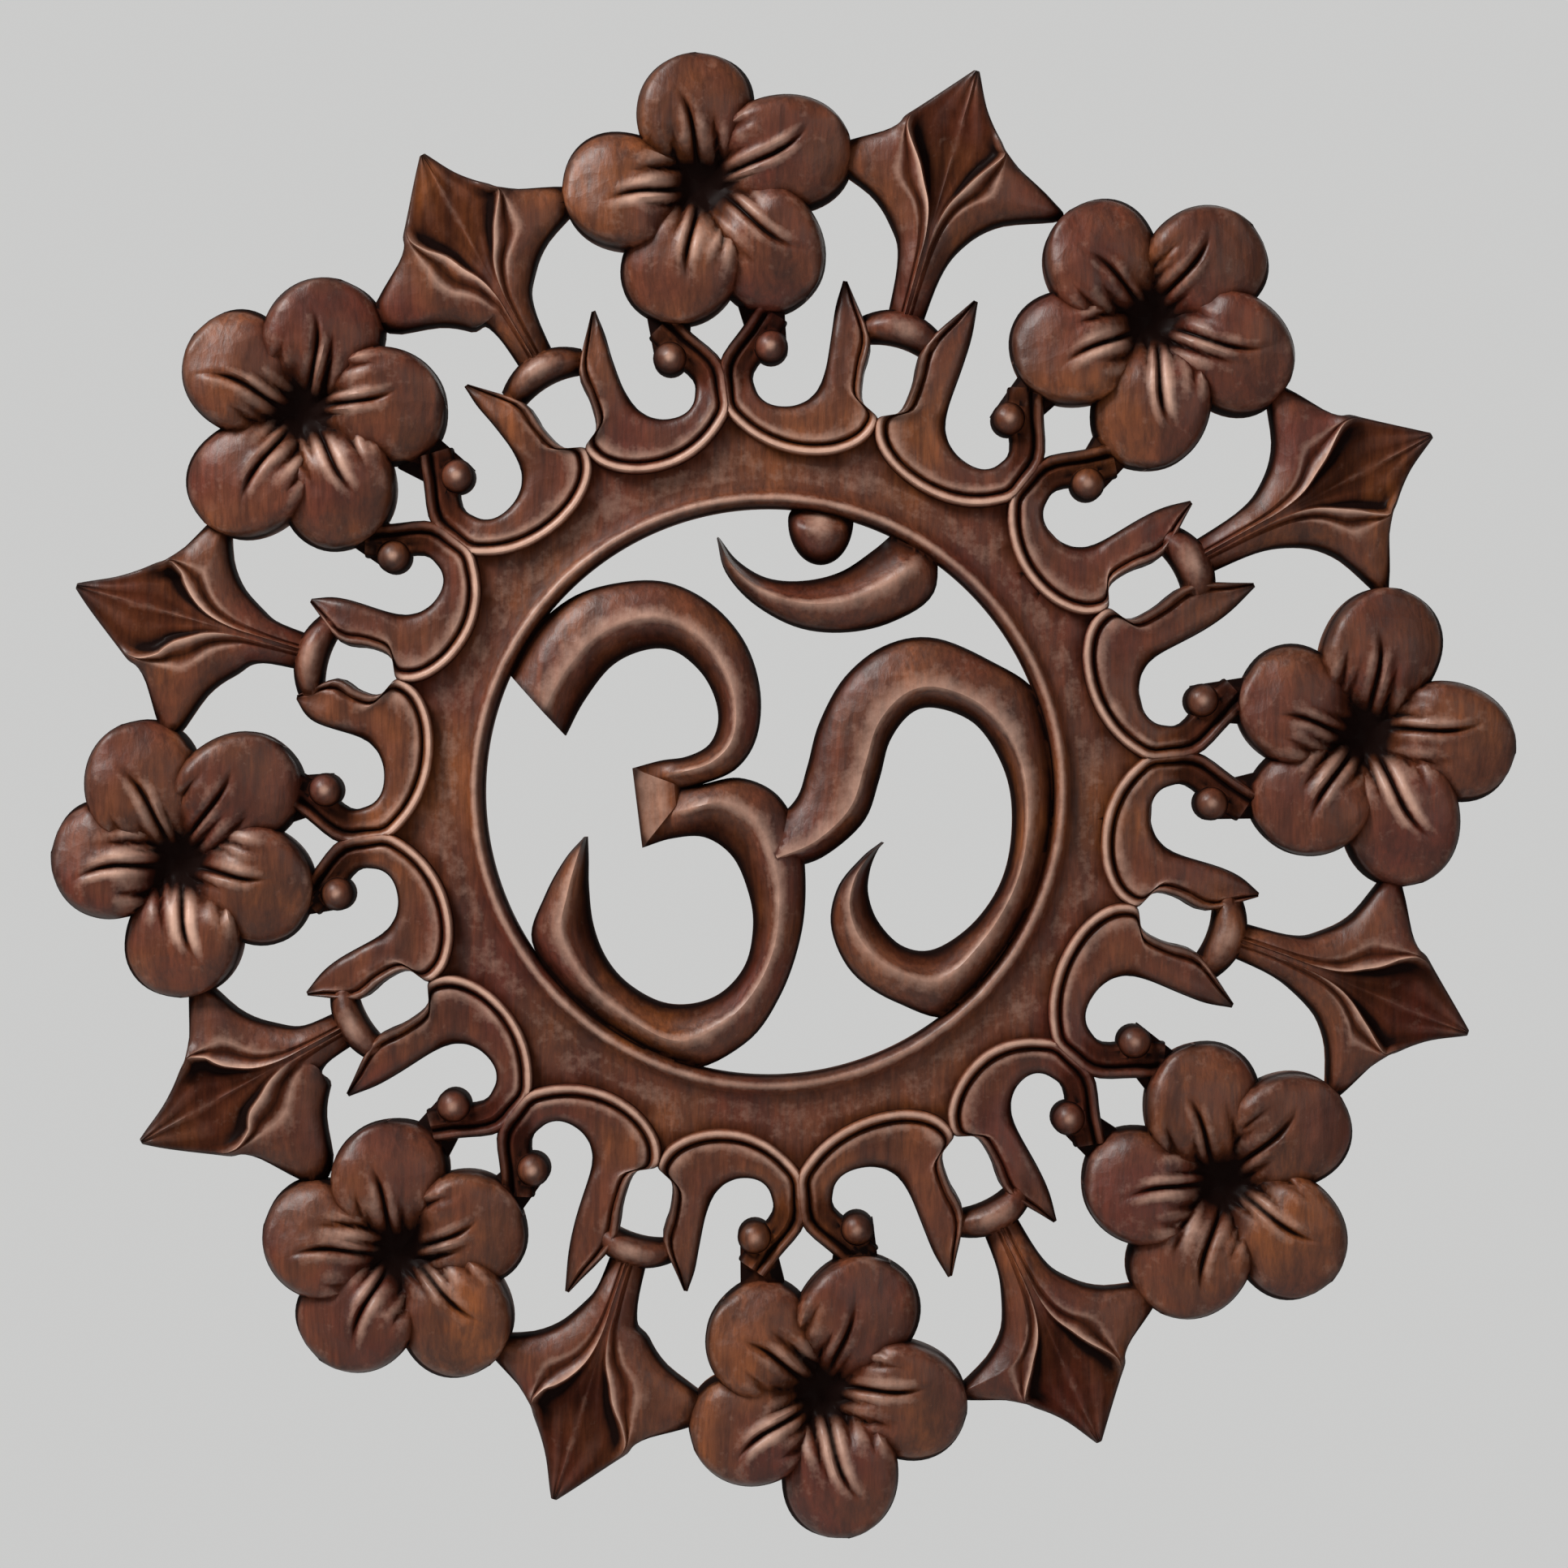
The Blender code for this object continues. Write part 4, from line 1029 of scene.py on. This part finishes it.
# Dark of stain with painted shade, in the cuts, the hollows and along the pierced edges
DEEP = (0.0060, 0.0018, 0.0012)
DARK = (0.021, 0.0056, 0.0034)
RED = (0.122, 0.0245, 0.0120)
BROWN = (0.158, 0.0445, 0.0160)
ORANGE = (0.270, 0.078, 0.0190)
# Pale of wear and of painted highlight on the raised parts
WORN_AND_HIGHLIGHT = (0.64, 0.395, 0.300)
TONES = ((0.32, RED), (0.55, BROWN), (0.74, ORANGE))
# Noise in the wood: scale, detail, roughness and distortion
GRAIN_STRETCH = (1.0, 1.0, 0.12)
GRAIN = (900, 4, 0.6, 0.4)
STREAKS = (150, 4, 0.6, 0.8)
PATCHES = (34, 3, 0.5)
BLOTCHES = (170, 4, 0.6)
SPECKS = (620, 3, 0.6)
FACET_SCALE = 230
# Shares of each mark in how deep the stain with painted shade lies and in how pale the wear with
# painted highlight is
STAIN_AND_SHADE_BROAD, STAIN_AND_SHADE_FINE, STAIN_BLOTCHES, STAIN_AND_SHADE_SHARE = -0.50, -0.40, 0.5, 0.95
WEAR_FINE, WEAR_BLOTCHES, WEAR_SPECKS = 0.15, 0.65, 0.30
# Ramps from those marks to the share of a colour, to roughness and to gloss
STREAK_RAMP = ((0.36, 0.0), (0.72, 0.75))
GRAIN_RAMP = ((0.35, 0.40), (0.60, 0.0))
STAIN_AND_SHADE_RAMP = ((0.04, 0.0), (0.95, 1.0))
WORN_AND_HIGHLIGHT_RAMP = ((0.08, 0.0), (0.95, 0.88))
EDGE_RAMP = ((0.10, 0.85), (0.95, 0.0))
ROUGH_RAMP = ((0.0, 0.47), (0.55, 0.80))
GLOSS_RAMP = ((0.0, 0.36), (0.45, 0.04))
ROUGH_GRAIN = 0.2
COAT_WEIGHT = 0.02
COAT_ROUGHNESS = 0.32
# Bump: shares of the grain, the facets and the blotches, its strength and its height
BUMP_SHARES = (0.30, 0.75, 0.7)
BUMP_STRENGTH = 0.42
BUMP_HEIGHT = 0.0007


def stained_wood():
    """Reddish-brown stain on carved hardwood: dark with stain and painted shade in the cuts
    and at the pierced edges, pale with wear and painted highlight on the ridges.
    """
    made = bpy.data.materials.new("stained_wood")
    made.use_nodes = True
    tree = made.node_tree
    shader = tree.nodes["Principled BSDF"]
    place_on_wood = node(tree, "ShaderNodeTexCoord").outputs["Object"]
    along_grain = node(tree, "ShaderNodeMapping")
    along_grain.inputs["Scale"].default_value = GRAIN_STRETCH
    tree.links.new(place_on_wood, along_grain.inputs["Vector"])
    grain = noise_at(tree, along_grain.outputs["Vector"], *GRAIN)
    streaks = noise_at(tree, along_grain.outputs["Vector"], *STREAKS)
    patches = noise_at(tree, place_on_wood, *PATCHES)
    blotches = noise_at(tree, place_on_wood, *BLOTCHES)
    specks = noise_at(tree, place_on_wood, *SPECKS)
    fine = attribute(tree, "fine_relief")
    broad = attribute(tree, "broad_relief")
    inside = attribute(tree, "from_edge")
    worn_and_highlit_mark = attribute(tree, "worn_and_highlit")
    stain_and_shade_mark = attribute(tree, "stain_and_shade")

    tone = ramp(tree, patches, TONES)
    tone = mix(tree, grey_ramp(tree, streaks, STREAK_RAMP), tone, DARK)
    tone = mix(tree, grey_ramp(tree, grain, GRAIN_RAMP), tone, DARK)
    # Stain with painted shade: darker where the wood lies below the wood round it and where
    # marked dark, and in random blotches
    depth = total(tree, scaled(tree, broad, STAIN_AND_SHADE_BROAD), scaled(tree, fine, STAIN_AND_SHADE_FINE),
                  scaled(tree, blotches, STAIN_BLOTCHES, middle=0.5),
                  scaled(tree, stain_and_shade_mark, STAIN_AND_SHADE_SHARE))
    tone = mix(tree, grey_ramp(tree, depth, STAIN_AND_SHADE_RAMP), tone, DEEP)
    # Wear with painted highlight: paler on the marked ridges and on fine raised relief, and in
    # random blotches and specks
    raised = total(tree, worn_and_highlit_mark, scaled(tree, fine, WEAR_FINE),
                   scaled(tree, blotches, WEAR_BLOTCHES, middle=0.5),
                   scaled(tree, specks, WEAR_SPECKS, middle=0.5))
    free_of_stain_and_shade = maths(tree, 'SUBTRACT', 1.0, stain_and_shade_mark, clamp=True)
    worn_and_highlit = maths(tree, 'MULTIPLY', grey_ramp(tree, raised, WORN_AND_HIGHLIGHT_RAMP),
                 maths(tree, 'MULTIPLY', inside, free_of_stain_and_shade))
    tone = mix(tree, worn_and_highlit, tone, WORN_AND_HIGHLIGHT)
    # Stain with painted shade along the pierced edges
    tone = mix(tree, grey_ramp(tree, inside, EDGE_RAMP), tone, DEEP)
    tree.links.new(tone, shader.inputs["Base Color"])

    rough = total(tree, grey_ramp(tree, depth, ROUGH_RAMP),
                  scaled(tree, grain, ROUGH_GRAIN, middle=0.5))
    tree.links.new(rough, shader.inputs["Roughness"])
    gloss = grey_ramp(tree, depth, GLOSS_RAMP)
    tree.links.new(gloss, shader.inputs["Specular IOR Level"])
    shader.inputs["Coat Weight"].default_value = COAT_WEIGHT
    shader.inputs["Coat Roughness"].default_value = COAT_ROUGHNESS

    facets = node(tree, "ShaderNodeTexVoronoi", feature='F1')
    facets.inputs["Scale"].default_value = FACET_SCALE
    tree.links.new(place_on_wood, facets.inputs["Vector"])
    surface = total(tree, scaled(tree, grain, BUMP_SHARES[0]),
                    scaled(tree, facets.outputs["Distance"], BUMP_SHARES[1]),
                    scaled(tree, blotches, BUMP_SHARES[2]))
    bump = node(tree, "ShaderNodeBump")
    bump.inputs["Strength"].default_value = BUMP_STRENGTH
    bump.inputs["Distance"].default_value = BUMP_HEIGHT
    tree.links.new(surface, bump.inputs["Height"])
    tree.links.new(bump.outputs["Normal"], shader.inputs["Normal"])
    return made


panel.data.materials.clear()
panel.data.materials.append(stained_wood())
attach(panel, "root")
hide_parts(NODE)


# Stage: pale floor below the panel, pale surroundings, soft studio light
FLOOR_DROP = 0.20
FLOOR_RADIUS = 0.9
FLOOR_SIDES = 96
FLOOR_COLOUR = (0.72, 0.72, 0.71, 1)
FLOOR_ROUGHNESS = 0.8
# What lights the panel from all round, and what the camera sees behind it
AMBIENT = (1.0, 0.96, 0.93, 1)
AMBIENT_STRENGTH = 0.24
BACKDROP = (0.60, 0.60, 0.595, 1)
# Lights: name, place, width, power and colour
LIGHTS = (
    ("key", (-0.85, -0.60, 0.85), 0.40, 24.0, (1.0, 0.985, 0.97)),
    ("fill", (0.7, -1.4, 0.1), 1.0, 4.0, (1.0, 0.97, 0.94)),
    ("behind", (0.5, 1.3, 0.5), 1.2, 3.0, (1.0, 0.98, 0.95)),
)


def floor():
    bm = bmesh.new()
    bmesh.ops.create_circle(bm, cap_ends=True, segments=FLOOR_SIDES, radius=FLOOR_RADIUS)
    bmesh.ops.translate(bm, vec=(0, 0, CAD_LOW[2] - FLOOR_DROP), verts=bm.verts)
    mesh = bpy.data.meshes.new("floor")
    bm.to_mesh(mesh)
    bm.free()
    made = bpy.data.objects.new("floor", mesh)
    bpy.context.collection.objects.link(made)
    pale = bpy.data.materials.new("pale_floor")
    pale.use_nodes = True
    shader = pale.node_tree.nodes["Principled BSDF"]
    shader.inputs["Base Color"].default_value = FLOOR_COLOUR
    shader.inputs["Roughness"].default_value = FLOOR_ROUGHNESS
    made.data.materials.append(pale)


def area_light(name, where, width, power, colour):
    """Round area light aimed at the middle of the panel."""
    data = bpy.data.lights.new(name, 'AREA')
    data.shape = 'DISK'
    data.size = width
    data.energy = power
    data.color = colour
    lamp = bpy.data.objects.new(name, data)
    lamp.location = where
    aim = Vector(CENTRE) - Vector(where)
    lamp.rotation_euler = aim.to_track_quat('-Z', 'Y').to_euler()
    bpy.context.collection.objects.link(lamp)


def surroundings():
    world = bpy.data.worlds.new("studio")
    world.use_nodes = True
    tree = world.node_tree
    tree.nodes.clear()
    out = node(tree, "ShaderNodeOutputWorld")
    lit = node(tree, "ShaderNodeBackground")
    lit.inputs["Color"].default_value = AMBIENT
    lit.inputs["Strength"].default_value = AMBIENT_STRENGTH
    seen = node(tree, "ShaderNodeBackground")
    seen.inputs["Color"].default_value = BACKDROP
    seen.inputs["Strength"].default_value = 1.0
    choose = node(tree, "ShaderNodeMixShader")
    path = node(tree, "ShaderNodeLightPath")
    tree.links.new(path.outputs["Is Camera Ray"], choose.inputs[0])
    tree.links.new(lit.outputs[0], choose.inputs[1])
    tree.links.new(seen.outputs[0], choose.inputs[2])
    tree.links.new(choose.outputs[0], out.inputs["Surface"])
    bpy.context.scene.world = world


CENTRE = (0.0, -0.010, -ORIGIN_RISE)
# The photograph's pixels, and how far its middle lies from the panel's
PIXEL = 0.00022
FRAME_WIDTH = 1932 * PIXEL
OFF_CENTRE = (11 * PIXEL, 6 * PIXEL)
LENS = 135.0
SENSOR = 36.0


def camera():
    """Straight in front, a long way off, with the photograph's framing."""
    data = bpy.data.cameras.new("camera")
    data.lens = LENS
    data.sensor_width = SENSOR
    made = bpy.data.objects.new("camera", data)
    distance = FRAME_WIDTH * LENS / SENSOR
    made.location = (CENTRE[0] + OFF_CENTRE[0], CENTRE[1] - distance, CENTRE[2] + OFF_CENTRE[1])
    made.rotation_euler = (math.pi / 2, 0, 0)
    bpy.context.collection.objects.link(made)
    bpy.context.scene.camera = made


floor()
for light in LIGHTS:
    area_light(*light)
surroundings()
camera()
bpy.context.scene.view_settings.view_transform = 'Standard'
